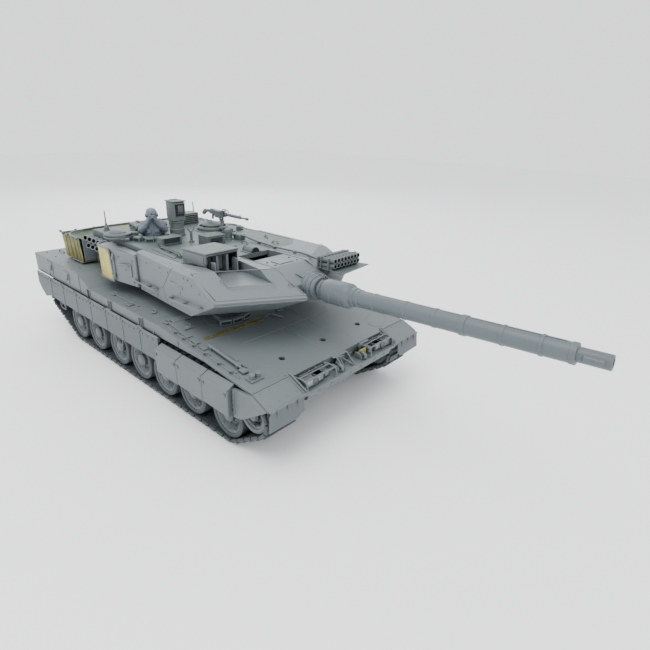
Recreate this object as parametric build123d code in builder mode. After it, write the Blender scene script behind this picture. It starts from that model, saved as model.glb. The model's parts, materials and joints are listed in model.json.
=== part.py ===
from build123d import *
import math
import os

os.makedirs("parts", exist_ok=True)

# A radio controlled battle tank at 1/16 scale, in millimetres.
# +X is forward along the gun, +Y is the tank's left, +Z is up, and the tracks stand on z = 0.

# Hull
hull_rear = -341.0
nose_x = 136.0
deck_half = 109.4
tub_half = 62.5
wall = 2.5
belly_z = 31.0
sponson_z = 76.0
rear_deck_z = 100.5
front_deck_z = 87.5
rear_deck_end = -204.5
front_deck_start = -177.6
glacis_start = -24.5
glacis_end = 115.0
glacis_end_z = 70.6
ledge_z = 60.0
fender_inner = 64.5

# Running gear
wheel_x = [71.5, 16.0, -33.4, -82.4, -131.7, -187.3, -238.3]
wheel_r = 21.9
belt_gap = 0.3
belt_core = 3.2
pad_height = 1.8
sprocket_x, sprocket_z, sprocket_r = -297.0, 50.0, 18.5
idler_x, idler_z, idler_r = 107.6, 43.5, 16.8
track_inner = 67.2
track_width = 39.7
link_pitch = 11.5
horn_height = 6.0
axle_r = 3.0
running_fit = 0.05
wheel_z = pad_height + belt_core + belt_gap + wheel_r
arm_reach_x = 20.5
arm_reach_z = 12.0

# Skirts
skirt_outer = 112.5
heavy_outer = 117.5
heavy_edges = [92.0, 54.8, 14.5, -22.5]
heavy_top = 67.5
heavy_bottom = 42.0

# Turret
turret_x = -95.0
race_r = 57.0
turret_low = 101.5
roof_z = 144.0
shell_plan = [(-236.0, 72.0), (-99.5, 78.0), (-30.0, 78.0), (-12.0, 60.0)]
slot_half = 21.4
wedge_tip = (90.5, 21.5)
wedge_corner = (45.5, 93.1)
bead_top = 125.2
bead_bottom = 121.6
trunnion = (8.0, 0.0, 123.6)
gun_tilt = 2.8
trunnion_r = 3.0

# Gun, as distances forward of the trunnion along the bore
collar_end = 73.0
evac_start, evac_end, evac_r = 80.0, 122.0, 12.0
sleeve_r = 7.8
muzzle_r = 5.5
bore_r = 3.75
bore_depth = 60.0
sleeve_end = 312.5
muzzle_end = 333.95


def save(part, name):
    part.label = name
    export_step(part, "parts/" + name + ".step")


def glacis_z(x):
    slope = (front_deck_z - glacis_end_z) / (glacis_end - glacis_start)
    return front_deck_z - (x - glacis_start) * slope


# ---- Lower hull: an open tub with sloped nose and rear plates, screw posts and track skids ----
screw_spots = [(-308.0, 22.0), (-308.0, -22.0), (60.0, 50.0), (60.0, -50.0)]
screw_r = 1.5

with BuildPart() as lower_hull:
    with BuildSketch(Plane.XZ):
        with BuildLine():
            Polyline(
                (-337.5, sponson_z), (49.3, sponson_z), (114.5, 68.1), (114.5, 57.5), (134.0, 57.5),
                (131.0, 50.0), (84.0, belly_z), (-318.0, belly_z), (-337.5, 58.0), close=True,
            )
        make_face()
    extrude(amount=tub_half, both=True)
    with BuildSketch(Plane.XZ):
        with BuildLine():
            Polyline(
                (-335.0, 80.0), (112.0, 80.0), (112.0, 46.0), (82.0, belly_z + wall),
                (-316.5, belly_z + wall), (-335.0, 59.0), close=True,
            )
        make_face()
    extrude(amount=tub_half - wall, both=True, mode=Mode.SUBTRACT)
    with BuildSketch(Plane.XY.offset(belly_z + wall)):
        with Locations(*screw_spots):
            Circle(4.0)
    extrude(amount=36.0)
    with Locations(*[(x, y, belly_z) for x, y in screw_spots]):
        Cylinder(screw_r + 0.1, 70.0, mode=Mode.SUBTRACT)
        Cylinder(3.2, 4.0, mode=Mode.SUBTRACT)
    for side in (1, -1):
        with BuildSketch(Plane.XZ.offset(side * 65.4)):
            with BuildLine():
                Polyline((-270.0, 67.7), (90.0, 60.4), (90.0, 56.0), (-270.0, 63.0), close=True)
            make_face()
        extrude(amount=3.0, both=True)
    # Output shaft holes for the final drives
    with Locations((sprocket_x, 0, sprocket_z)):
        Cylinder(axle_r + 1.0, 3 * tub_half, rotation=(90, 0, 0), mode=Mode.SUBTRACT)
    # Slot for the power switch in the belly
    with Locations((-120.0, 0, belly_z)):
        Box(17.0, 5.6, 12.0, mode=Mode.SUBTRACT)

# ---- Upper hull: sponsons, decks, glacis and the mudguards, as one hollow moulding ----
with BuildPart() as upper_hull:
    with BuildSketch(Plane.XZ):
        with BuildLine():
            Polyline(
                (hull_rear, sponson_z), (hull_rear, rear_deck_z), (rear_deck_end, rear_deck_z),
                (front_deck_start, front_deck_z), (glacis_start, front_deck_z), (glacis_end, glacis_end_z),
                (nose_x, 61.0), (nose_x, 58.5), (114.5, 68.1), (49.3, sponson_z), close=True,
            )
        make_face()
    extrude(amount=deck_half, both=True)
    with BuildSketch(Plane.XZ):
        with BuildLine():
            Polyline(
                (hull_rear + wall, sponson_z + wall), (hull_rear + wall, rear_deck_z - wall),
                (rear_deck_end - 1, rear_deck_z - wall), (front_deck_start - 1, front_deck_z - wall),
                (glacis_start, front_deck_z - wall), (29.0, sponson_z + wall), close=True,
            )
        make_face()
    extrude(amount=deck_half - wall, both=True, mode=Mode.SUBTRACT)
    with BuildSketch(Plane.XY.offset(sponson_z - 1)):
        with Locations((-153.0, 0)):
            Rectangle(364.0, 120.0)
    extrude(amount=wall + 2, mode=Mode.SUBTRACT)
    # The nose is cut back between the mudguards and closed by a step and a ledge
    with Locations((128.0, 0, 66.0)):
        Box(22.0, 2 * fender_inner, 18.0, mode=Mode.SUBTRACT)
    with BuildSketch(Plane.XZ):
        with BuildLine():
            Polyline(
                (114.6, 57.6), (114.6, glacis_z(114.6)), (117.2, glacis_z(117.2)), (117.2, ledge_z),
                (nose_x, ledge_z), (nose_x, 57.6), close=True,
            )
        make_face()
    extrude(amount=fender_inner + 2, both=True)
    for side in (1, -1):
        with BuildSketch(Plane.XZ.offset(side * (fender_inner + 1))):
            with BuildLine():
                Polyline(
                    (114.6, 57.6), (114.6, 69.5), (glacis_end, glacis_end_z), (nose_x, 61.0),
                    (nose_x, 57.6), close=True,
                )
            make_face()
        extrude(amount=1.0, both=True)
    # Turret ring: a raised collar round the bearing hole
    with BuildSketch(Plane.XY.offset(front_deck_z - 1)):
        with Locations((turret_x, 0)):
            Circle(race_r + 4)
    extrude(amount=4.5)
    with BuildSketch(Plane.XY.offset(sponson_z)):
        with Locations((turret_x, 0)):
            Circle(race_r)
    extrude(amount=30, mode=Mode.SUBTRACT)
    # Two round fan wells and two intake wells in the rear deck
    with BuildSketch(Plane.XY.offset(rear_deck_z - 1.6)):
        with Locations((-285.0, 34.0), (-285.0, -34.0)):
            Circle(26.0)
        with Locations((-232.0, 40.0), (-232.0, -40.0)):
            Rectangle(36.0, 60.0)
    extrude(amount=3, mode=Mode.SUBTRACT)
    # Exhaust grilles at the back
    for side in (1, -1):
        with Locations((hull_rear, side * 78.0, 88.0)):
            Box(3.0, 40.0, 16.0, mode=Mode.SUBTRACT)
    # Rear light and tow hook pads
    with Locations((hull_rear - 0.5, 96.0, 80.5), (hull_rear - 0.5, -96.0, 80.5)):
        Box(1.0, 12.0, 7.0)

glacis_plane = Plane(
    origin=(glacis_start, 0, front_deck_z),
    x_dir=(glacis_end - glacis_start, 0, glacis_end_z - front_deck_z),
    z_dir=(front_deck_z - glacis_end_z, 0, glacis_end - glacis_start),
)
driver_at = (19.0, -44.0)
driver_pivot = (19.0, -26.0)
driver_r = 14.5
socket_spots = [(116.5, -55.0), (116.5, 1.0), (116.5, 57.0)]
socket_r = 3.1
periscope_x = 35.5

with BuildPart() as pierced_hull:
    add(upper_hull.part)
    with BuildSketch(glacis_plane.offset(-12)):
        with Locations(*socket_spots):
            Circle(socket_r)
        with Locations(driver_at):
            Circle(driver_r - 2)
        with Locations(driver_pivot):
            Circle(1.55)
    extrude(amount=20, mode=Mode.SUBTRACT)

save(lower_hull.part, "lower_hull")
save(pierced_hull.part, "upper_hull")

# ---- Engine deck grilles: round fan covers and louvred intakes ----
with BuildPart() as engine_grilles:
    with BuildSketch(Plane.XY.offset(rear_deck_z - 1.6)):
        for side in (1, -1):
            with Locations((-285.0, side * 34.0)):
                Circle(25.8)
                for ring in (23.0, 19.5, 16.0, 12.5, 9.0):
                    Circle(ring, mode=Mode.SUBTRACT)
                    Circle(ring - 1.7)
            with Locations((-285.0, side * 34.0)):
                with PolarLocations(0, 6):
                    with Locations((13.0, 0)):
                        Rectangle(22.0, 2.0)
            with Locations((-232.0, side * 40.0)):
                Rectangle(35.6, 59.6)
                with GridLocations(4.0, 0, 8, 1):
                    Rectangle(2.2, 55.0, mode=Mode.SUBTRACT)
    extrude(amount=1.3)
save(engine_grilles.part, "engine_grilles")

# ---- Side skirts: rubber panels under a hinge strip, and three thick armour blocks at the front ----
skirt_seams = [-60.0, -97.0, -136.0, -175.0, -214.0, -253.0, -292.0]
with BuildPart() as side_skirt_right:
    with BuildSketch(Plane.XZ.offset(skirt_outer - 1.2)):
        with BuildLine():
            Polyline(
                (-337.0, 74.5), (-24.0, 74.5), (-24.0, 49.0), (-300.0, 49.0), (-318.0, 44.0),
                (-330.0, 52.0), (-337.0, 60.0), close=True,
            )
        make_face()
    extrude(amount=1.2)
    with Locations((-180.5, -(deck_half + skirt_outer - 1.2) / 2, 72.5)):
        Box(312.0, skirt_outer - 1.2 - deck_half, 4.0)
    for seam in skirt_seams:
        with Locations((seam, -skirt_outer, 60.0)):
            Box(0.5, 0.9, 24.0, mode=Mode.SUBTRACT)
        with Locations((seam, -skirt_outer - 0.25, 73.0)):
            Box(5.0, 1.5, 2.4)
    # Wire foot stirrups below two panels
    for step_x in (-262.0, -110.0):
        with BuildLine() as stirrup:
            Polyline(
                (step_x - 9.0, -112.0, 50.5), (step_x - 7.0, -112.0, 41.0), (step_x + 7.0, -112.0, 41.0),
                (step_x + 9.0, -112.0, 50.5),
            )
            fillet(stirrup.vertices().group_by(Axis.Z)[0], radius=2.5)
        with BuildSketch(Plane(origin=stirrup.line @ 0, z_dir=stirrup.line % 0)):
            Circle(0.7)
        sweep(path=stirrup.line)

with BuildPart() as heavy_skirt_right:
    for front, rear in zip(heavy_edges[:-1], heavy_edges[1:]):
        with BuildSketch(Plane.XZ.offset(heavy_outer - 6.0)):
            with BuildLine():
                Polyline(
                    (rear + 0.4, heavy_bottom), (front - 0.4, heavy_bottom - 1), (front - 0.4, heavy_top),
                    (rear + 0.4, heavy_top), close=True,
                )
            make_face()
        extrude(amount=6.0)
        with Locations(((front + rear) / 2, -(deck_half + heavy_outer - 6.0) / 2, 66.0)):
            Box(front - rear - 10.0, heavy_outer - 6.0 - deck_half, 3.0)
    with BuildSketch(Plane.XZ.offset(deck_half)):
        with BuildLine():
            Polyline(
                (92.6, 40.0), (104.0, 42.5), (133.0, 61.5), (115.5, 69.4), (92.6, 67.5), close=True,
            )
        make_face()
    extrude(amount=3.0)
    heavy_faces = heavy_skirt_right.faces().filter_by(Plane.XZ).sort_by(Axis.Y)[:3]
    chamfer(heavy_faces.edges(), length=0.6)

for name, part in (("side_skirt", side_skirt_right), ("heavy_skirt", heavy_skirt_right)):
    save(part.part, name + "_right")
    with BuildPart() as left_copy:
        mirror(part.part, about=Plane.XZ)
    save(left_copy.part, name + "_left")

# ---- Tracks: a closed belt of links with outer pads and a row of inner guide horns ----
# Circles that the belt's inner face wraps, in order round the loop from the rear road wheel
belt_circles = [
    (wheel_x[-1], wheel_z, wheel_r + belt_gap),
    (wheel_x[0], wheel_z, wheel_r + belt_gap),
    (idler_x, idler_z, idler_r + belt_gap),
    (sprocket_x, sprocket_z, sprocket_r + belt_gap),
]
belt_turn = []
for (x0, z0, r0), (x1, z1, r1) in zip(belt_circles, belt_circles[1:] + belt_circles[:1]):
    # Direction of the outward normal along the straight run from one circle to the next
    run_angle = math.atan2(z1 - z0, x1 - x0)
    belt_turn.append(run_angle - math.acos((r0 - r1) / math.hypot(x1 - x0, z1 - z0)))


def belt_point(index, angle, lift):
    x, z, radius = belt_circles[index % len(belt_circles)]
    return x + (radius + lift) * math.cos(angle), z + (radius + lift) * math.sin(angle)


def belt_spans(lift):
    # Straight runs and arcs in order: start, end, start angle and turn of each
    spans = []
    for i, angle in enumerate(belt_turn):
        start, end = belt_point(i, angle, lift), belt_point(i + 1, angle, lift)
        spans.append((start, end, angle, 0.0, i))
        bend = (belt_turn[(i + 1) % len(belt_turn)] - angle) % (2 * math.pi)
        spans.append((end, belt_point(i + 1, angle + bend, lift), angle, bend, i + 1))
    return spans


def belt_outline(lift):
    for start, end, angle, bend, index in belt_spans(lift):
        if bend:
            ThreePointArc(start, belt_point(index, angle + bend / 2, lift), end)
        else:
            Line(start, end)


def span_length(span, lift):
    start, end, angle, bend, index = span
    if bend:
        return bend * (belt_circles[index % len(belt_circles)][2] + lift)
    return math.dist(start, end)


track_centre = track_inner + track_width / 2
pitch_spans = belt_spans(belt_core)
belt_length = sum(span_length(span, belt_core) for span in pitch_spans)
link_count = round(belt_length / link_pitch)
link_planes = []
for i in range(link_count):
    along = i * belt_length / link_count
    for span in pitch_spans:
        length = span_length(span, belt_core)
        if along <= length:
            break
        along -= length
    start, end, angle, bend, index = span
    share = along / length
    if bend:
        angle += bend * share
        x, z = belt_point(index, angle, belt_core)
    else:
        x, z = start[0] + (end[0] - start[0]) * share, start[1] + (end[1] - start[1]) * share
    link_planes.append(
        Plane(
            origin=(x, -track_centre, z),
            x_dir=(-math.sin(angle), 0, math.cos(angle)),
            z_dir=(math.cos(angle), 0, math.sin(angle)),
        )
    )
print("track links", link_count, "belt length", round(belt_length, 1))

with BuildPart() as track_right:
    with BuildSketch(Plane.XZ.offset(track_inner + 2)):
        with BuildLine():
            belt_outline(belt_core)
        make_face()
        with BuildLine():
            belt_outline(0.0)
        make_face(mode=Mode.SUBTRACT)
    extrude(amount=track_width - 4)
    with Locations(*[plane.offset(0.4) for plane in link_planes]):
        with GridLocations(0, track_width / 2, 1, 2):
            Box(link_pitch * 0.72, track_width / 2 - 2.4, 2 * pad_height - 0.8)
    with Locations(*[plane.offset(-belt_core / 2) for plane in link_planes]):
        with GridLocations(0, track_width - 2.2, 1, 2):
            Box(link_pitch * 0.5, 2.2, belt_core)
    with Locations(*[plane.offset(-belt_core - horn_height / 2 + 0.1) for plane in link_planes]):
        Box(link_pitch * 0.42, 5.0, horn_height)
    split(bisect_by=Plane.XY, keep=Keep.TOP)
save(track_right.part, "track_right")
with BuildPart() as track_left:
    mirror(track_right.part, about=Plane.XZ)
save(track_left.part, "track_left")

# ---- Suspension: fixed trailing arms with stub axles for the road wheels and idlers ----
arm_inner, arm_outer = tub_half, 68.6
axle_end = 99.0
with BuildPart() as suspension_arms:
    for side in (1, -1):
        for x in wheel_x:
            # The front wheel hangs on a leading arm, and the others trail
            reach = arm_reach_x if x < wheel_x[0] else -arm_reach_x
            with BuildSketch(Plane.XZ.offset(side * arm_inner)):
                with Locations((x, wheel_z)):
                    Circle(5.0)
                with Locations((x + reach, wheel_z + arm_reach_z)):
                    Circle(5.4)
                make_hull()
            extrude(amount=side * (arm_outer - arm_inner))
        with BuildSketch(Plane.XZ.offset(side * arm_inner)):
            with Locations((idler_x, idler_z)):
                Circle(5.5)
            with Locations((idler_x - 10, idler_z + 2)):
                Circle(6.0)
            make_hull()
        extrude(amount=side * (arm_outer - arm_inner))
        with BuildSketch(Plane.XZ.offset(side * (arm_outer - 1))):
            with Locations(*[(x, wheel_z) for x in wheel_x], (idler_x, idler_z)):
                Circle(axle_r)
        extrude(amount=side * (axle_end - arm_outer + 1))
save(suspension_arms.part, "suspension_arms")


def wheel_profile(rim_r, cap_r):
    # Half section of a dual wheel: outboard distance against radius, open along the bore
    bore = axle_r + running_fit
    rim_in = rim_r - 4.6
    return [
        (69.0, bore), (69.0, 9.0), (74.5, 9.0), (75.2, rim_in), (69.7, rim_in), (69.7, rim_r - 0.5),
        (70.2, rim_r), (81.5, rim_r), (82.0, rim_r - 0.5), (82.0, rim_in), (77.4, rim_in), (77.0, 9.0),
        (94.5, 9.0), (92.0, rim_in), (92.0, rim_r - 0.5), (92.5, rim_r), (103.9, rim_r),
        (104.4, rim_r - 0.5), (104.4, rim_in), (103.4, rim_in), (96.6, 10.4), (98.6, 8.4), (102.6, cap_r),
        (104.0, cap_r - 0.8), (104.6, cap_r - 2.4), (104.6, 0), (99.4, 0), (99.4, bore),
    ]


def wheel_plane(side, x, z):
    # Local x runs outboard from the hull's middle and local y is radial
    return Plane(origin=(x, 0, z), x_dir=(0, side, 0), z_dir=(1, 0, 0))


# ---- Road wheels and idlers: dished dual discs on a common hub ----
for side, side_name in ((-1, "right"), (1, "left")):
    stations = [(x, wheel_z, wheel_r, "road_wheel_%s_%d" % (side_name, i + 1)) for i, x in enumerate(wheel_x)]
    stations.append((idler_x, idler_z, idler_r, "idler_" + side_name))
    for x, z, radius, name in stations:
        with BuildPart() as wheel:
            with BuildSketch(wheel_plane(side, x, z)):
                with BuildLine():
                    Polyline(*wheel_profile(radius, 6.6), close=True)
                make_face()
            revolve(axis=Axis((x, 0, z), (0, 1, 0)))
            with BuildSketch(Plane(origin=(x, side * 97.6, z), x_dir=(1, 0, 0), z_dir=(0, side, 0))):
                with PolarLocations(11.6, 10):
                    Circle(0.8)
            extrude(amount=2.2)
        save(wheel.part, name)

# ---- Drive sprockets: a drum on the final drive shaft with two toothed rings ----
tooth_count = 11
for side, side_name in ((-1, "right"), (1, "left")):
    with BuildPart() as sprocket:
        with BuildSketch(wheel_plane(side, sprocket_x, sprocket_z)):
            with BuildLine():
                Polyline(
                    (67.0, 2.0), (67.0, 9.0), (70.5, 11.5), (101.0, 11.5), (101.0, 10.0), (103.0, 8.5),
                    (104.6, 6.0), (104.6, 0), (76.0, 0), (76.0, 2.0), close=True,
                )
            make_face()
        revolve(axis=Axis((sprocket_x, 0, sprocket_z), (0, 1, 0)))
        for ring_y in (70.6, 99.0):
            ring_plane = Plane(
                origin=(sprocket_x, side * ring_y, sprocket_z), x_dir=(1, 0, 0), z_dir=(0, side, 0)
            )
            with BuildSketch(ring_plane):
                Circle(15.4)
                Circle(10.0, mode=Mode.SUBTRACT)
                with PolarLocations(0, tooth_count):
                    with BuildLine():
                        Polyline(
                            (14.0, -2.8), (sprocket_r - 0.1, -1.3), (sprocket_r - 0.1, 1.3), (14.0, 2.8),
                            close=True,
                        )
                    make_face()
                with PolarLocations(13.2, tooth_count):
                    Circle(1.2, mode=Mode.SUBTRACT)
            extrude(amount=3.0)
    save(sprocket.part, "sprocket_" + side_name)

# ---- Inside: battery, gearboxes with their shafts, circuit board and the traverse drive ----
with BuildPart() as battery_pack:
    with Locations((20.0, 0, belly_z + wall + 14.0)):
        Box(92.0, 44.0, 28.0)
    fillet(battery_pack.edges().filter_by(Axis.X), radius=5.0)
save(battery_pack.part, "battery_pack")

with BuildPart() as drive_gearboxes:
    for side in (1, -1):
        with Locations((-298.0, side * 45.0, 50.0)):
            Box(34.0, 24.0, 30.0)
        with Locations((-262.0, side * 45.0, 50.0)):
            Cylinder(10.0, 40.0, rotation=(0, 90, 0))
        shaft_length = 75.6 - 56.0
        with Locations((sprocket_x, side * (56.0 + shaft_length / 2), sprocket_z)):
            Cylinder(1.95, shaft_length, rotation=(90, 0, 0))
        with Locations((-298.0, side * 45.0, 34.25)):
            Box(26.0, 18.0, 1.5)
save(drive_gearboxes.part, "drive_gearboxes")

with BuildPart() as control_board:
    with Locations((-205.0, 0, 44.0)):
        Box(60.0, 80.0, 1.6)
    with Locations((-205.0, 0, 44.0)):
        with GridLocations(50.0, 70.0, 2, 2):
            Cylinder(2.5, 10.5, align=(Align.CENTER, Align.CENTER, Align.MAX))
    with Locations((-215.0, 15.0, 46.8), (-190.0, -20.0, 46.8)):
        Box(14.0, 14.0, 4.0)
    with Locations((-222.0, -24.0, 48.8)):
        Cylinder(4.0, 8.0)
save(control_board.part, "control_board")

roller_r = 6.0
race_gap = 0.1
roller_x = turret_x - race_r - race_gap - roller_r
with BuildPart() as traverse_motor:
    with Locations((roller_x, 0, 61.0)):
        Cylinder(9.0, 30.0)
    with Locations((roller_x, 0, 77.5)):
        Cylinder(1.5, 9.0)
    with Locations((roller_x, 0, 39.75)):
        Box(16.0, 16.0, 12.5)
save(traverse_motor.part, "traverse_motor")

with BuildPart() as traverse_roller:
    with Locations((roller_x, 0, 80.6)):
        Cylinder(roller_r, 5.6)
        Cylinder(1.5 + running_fit, 6.0, mode=Mode.SUBTRACT)
save(traverse_roller.part, "traverse_roller")

with BuildPart() as power_switch:
    with Locations((-124.0, 0, belly_z + wall + 0.95)):
        Box(12.0, 9.0, 1.7)
    with Locations((-124.0, 0, belly_z + 0.9)):
        Box(5.0, 5.0, 3.6)
save(power_switch.part, "power_switch")

with BuildPart() as hull_screws:
    with Locations(*[(x, y, belly_z + 1.2) for x, y in screw_spots]):
        Cylinder(3.0, 1.4)
    with Locations(*[(x, y, belly_z + 15.0) for x, y in screw_spots]):
        Cylinder(screw_r, 28.0)
    with Locations(*[(x, y, belly_z + 0.5) for x, y in screw_spots]):
        Box(3.4, 0.8, 0.9, mode=Mode.SUBTRACT)
save(hull_screws.part, "hull_screws")

# ---- Hull fittings: lamps on the nose ledge, mudflaps, tools, strip and the driver's station ----
with BuildPart() as headlights:
    for side in (1, -1):
        with Locations((125.5, side * 58.0, ledge_z + 4.6)):
            Box(8.0, 11.0, 8.4)
        with Locations((125.0, side * 44.0, ledge_z + 4.2)):
            Box(7.0, 9.0, 7.6)
        with Locations((129.6, side * 58.0, ledge_z + 4.6)):
            Cylinder(3.4, 1.4, rotation=(0, 90, 0))
        with Locations((128.6, side * 44.0, ledge_z + 4.2)):
            Cylinder(3.0, 1.4, rotation=(0, 90, 0))
        with Locations((122.5, side * 50.0, ledge_z + 0.4)):
            Box(6.0, 27.0, 0.8)
save(headlights.part, "headlights")

with BuildPart() as front_mudflaps:
    for side in (1, -1):
        with BuildSketch(Plane.YZ.offset(nose_x + 0.1)):
            with BuildLine():
                Polyline(
                    (side * 71.5, 60.5), (side * 109.4, 60.5), (side * 110.5, 44.0), (side * 80.0, 43.0),
                    (side * 71.5, 48.0), close=True,
                )
            make_face()
        extrude(amount=1.1)
        for hinge_y in (79.0, 90.5, 102.0):
            with Locations((nose_x + 1.5, side * hinge_y, 56.5)):
                Box(1.0, 1.6, 6.5)
save(front_mudflaps.part, "front_mudflaps")

with BuildPart() as deck_fittings:
    # A cleaning rod in two clamps, a horn and lamp pair on a base plate, and the driver's vision blocks
    with BuildSketch(glacis_plane):
        with Locations((66.0, -95.0), (104.0, -95.0)):
            Rectangle(3.0, 4.4)
    extrude(amount=3.6)
    with Locations(glacis_plane * Location((85.0, -95.0, 2.4))):
        Cylinder(1.3, 46.0, rotation=(0, 90, 0))
    with BuildSketch(glacis_plane):
        with Locations((125.5, -94.5)):
            Rectangle(9.0, 13.0)
    extrude(amount=1.4)
    with BuildSketch(glacis_plane):
        with Locations((125.5, -91.5), (125.5, -97.5)):
            Circle(2.4)
    extrude(amount=5.6)
    for y, turn in ((-57.0, -18.0), (-44.0, 0.0), (-31.0, 18.0)):
        with BuildSketch(glacis_plane):
            with Locations(Location((periscope_x + 1.5 - abs(turn) * 0.12, y), turn)):
                Rectangle(3.0, 10.5)
        extrude(amount=4.2)
save(deck_fittings.part, "deck_fittings")

with BuildPart() as glacis_strip:
    with BuildSketch(glacis_plane):
        with Locations((46.5, -54.0)):
            RectangleRounded(5.0, 72.0, 1.5)
        with Locations((46.5, -82.0), (46.5, -66.0), (46.5, -58.0), (46.5, -40.0), (46.5, -26.0)):
            Circle(0.8, mode=Mode.SUBTRACT)
    extrude(amount=0.4)
save(glacis_strip.part, "glacis_strip")

with BuildPart() as driver_hatch:
    with BuildSketch(glacis_plane.offset(0.15)):
        with Locations(driver_at):
            Circle(driver_r)
        with Locations(driver_pivot):
            Circle(4.0)
        make_hull()
    extrude(amount=2.2)
    with BuildSketch(glacis_plane.offset(0.2)):
        with Locations(driver_pivot):
            Circle(1.5)
    extrude(amount=-2.4)
save(driver_hatch.part, "driver_hatch")

# ---- Turret shell: a hollow flat-roofed box on its bearing ring ----
shell_outline = shell_plan + [(x, -y) for x, y in reversed(shell_plan)]
crew_hatch = (-148.0, -39.0)
loader_at = (-142.0, 40.0)
neck_r = race_r - 0.07
with BuildPart() as turret_shell:
    with BuildSketch(Plane.XY.offset(turret_low + 1.5)):
        with BuildLine():
            Polyline(*shell_outline, close=True)
        make_face()
    extrude(amount=roof_z - turret_low - 1.5)
    with BuildSketch(Plane.XY.offset(78.0)):
        with Locations((turret_x, 0)):
            Circle(neck_r)
    extrude(amount=26.0)
    with BuildSketch(Plane.XY.offset(front_deck_z + 3.7)):
        with Locations((turret_x, 0)):
            Circle(race_r + 3.5)
    extrude(amount=12.0)
    with BuildSketch(Plane.XY.offset(turret_low + 4.0)):
        with BuildLine():
            Polyline(*shell_outline, close=True)
        make_face()
        offset(amount=-2.4, kind=Kind.INTERSECTION, mode=Mode.REPLACE)
    extrude(amount=roof_z - turret_low - 6.4, mode=Mode.SUBTRACT)
    with BuildSketch(Plane.XY.offset(70.0)):
        with Locations((turret_x, 0)):
            Circle(neck_r - 4.0)
    extrude(amount=45.0, mode=Mode.SUBTRACT)
    # Openings for the gun and for the two crew hatches
    with Locations((-12.0, 0, 124.0)):
        Box(10.0, 2 * slot_half, 30.0, mode=Mode.SUBTRACT)
    with BuildSketch(Plane.XY.offset(roof_z)):
        with Locations(crew_hatch):
            Circle(17.0)
        with Locations(loader_at):
            Circle(19.5)
    extrude(amount=2.6)
    with BuildSketch(Plane.XY.offset(roof_z - 5)):
        with Locations(crew_hatch):
            Circle(13.0)
        with Locations(loader_at):
            Circle(14.0)
    extrude(amount=10, mode=Mode.SUBTRACT)
save(turret_shell.part, "turret_shell")

# ---- Turret armour: arrow-shaped hollow-charge modules either side of the gun ----
run_x = wedge_tip[0] - wedge_corner[0]
run_y = wedge_corner[1] - wedge_tip[1]
edge_length = math.hypot(run_x, run_y)
slope_rise = 0.528
chin_corner = (6.0, 91.0)
module_low = turret_low


def armour(side):
    outward = (run_y / edge_length, side * run_x / edge_length)
    top_plane = Plane(
        origin=(wedge_tip[0], side * wedge_tip[1], bead_top),
        z_dir=(outward[0] * slope_rise, outward[1] * slope_rise, 1.0),
    )
    chin_back = (wedge_corner[0] - chin_corner[0]) * outward[0]
    chin_run = chin_back + abs(chin_corner[1] - wedge_corner[1]) * abs(outward[1])
    chin_rise = (bead_bottom - module_low) / chin_run
    chin_plane = Plane(
        origin=(wedge_tip[0], side * wedge_tip[1], bead_bottom),
        z_dir=(outward[0] * chin_rise, outward[1] * chin_rise, -1.0),
    )
    side_plane = Plane(
        origin=(-60.0, side * 86.0, roof_z - 1.2),
        z_dir=(0.0, side * 0.35, 1.0),
    )
    with BuildPart() as module:
        with BuildSketch(Plane.XY.offset(module_low)):
            with BuildLine():
                Polyline(
                    (-99.5, side * 78.0), (-99.5, side * 85.5), (-20.0, side * 90.4),
                    (wedge_corner[0], side * wedge_corner[1]), (wedge_tip[0], side * wedge_tip[1]),
                    (-12.0, side * wedge_tip[1]), (-12.0, side * 60.0), (-30.0, side * 78.0), close=True,
                )
            make_face()
        extrude(amount=roof_z - module_low)
        split(bisect_by=top_plane, keep=Keep.BOTTOM)
        split(bisect_by=chin_plane, keep=Keep.BOTTOM)
        split(bisect_by=side_plane, keep=Keep.BOTTOM)
        # The cross shaft of the gun turns in this blind hole
        with Locations((trunnion[0], side * (wedge_tip[1] + 2.0), trunnion[2])):
            Cylinder(trunnion_r + running_fit, 6.0, rotation=(90, 0, 0), mode=Mode.SUBTRACT)
        # Gap between the side module and the wedge
        with BuildSketch(Plane.XZ.offset(-side * 95.0)):
            with BuildLine():
                Polyline(
                    (-21.0, 146.0), (-48.0, 116.0), (-38.0, 100.0), (-37.2, 100.0), (-47.2, 116.0),
                    (-20.2, 146.0), close=True,
                )
            make_face()
        extrude(amount=side * 7.0, mode=Mode.SUBTRACT)
    return module.part


right_armour = armour(-1)
trough_floor = 134.6
with BuildPart() as turret_armour_right:
    add(right_armour)
    with BuildSketch(Plane.XY.offset(trough_floor)):
        with BuildLine():
            Polyline(
                (-29.0, -78.0), (2.0, -69.5), (42.0, -73.0), (66.0, -38.0), (3.0, -30.8), (-29.0, -30.8),
                close=True,
            )
        make_face()
    extrude(amount=20.0, mode=Mode.SUBTRACT)
save(turret_armour_right.part, "turret_armour_right")
save(armour(1), "turret_armour_left")

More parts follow.
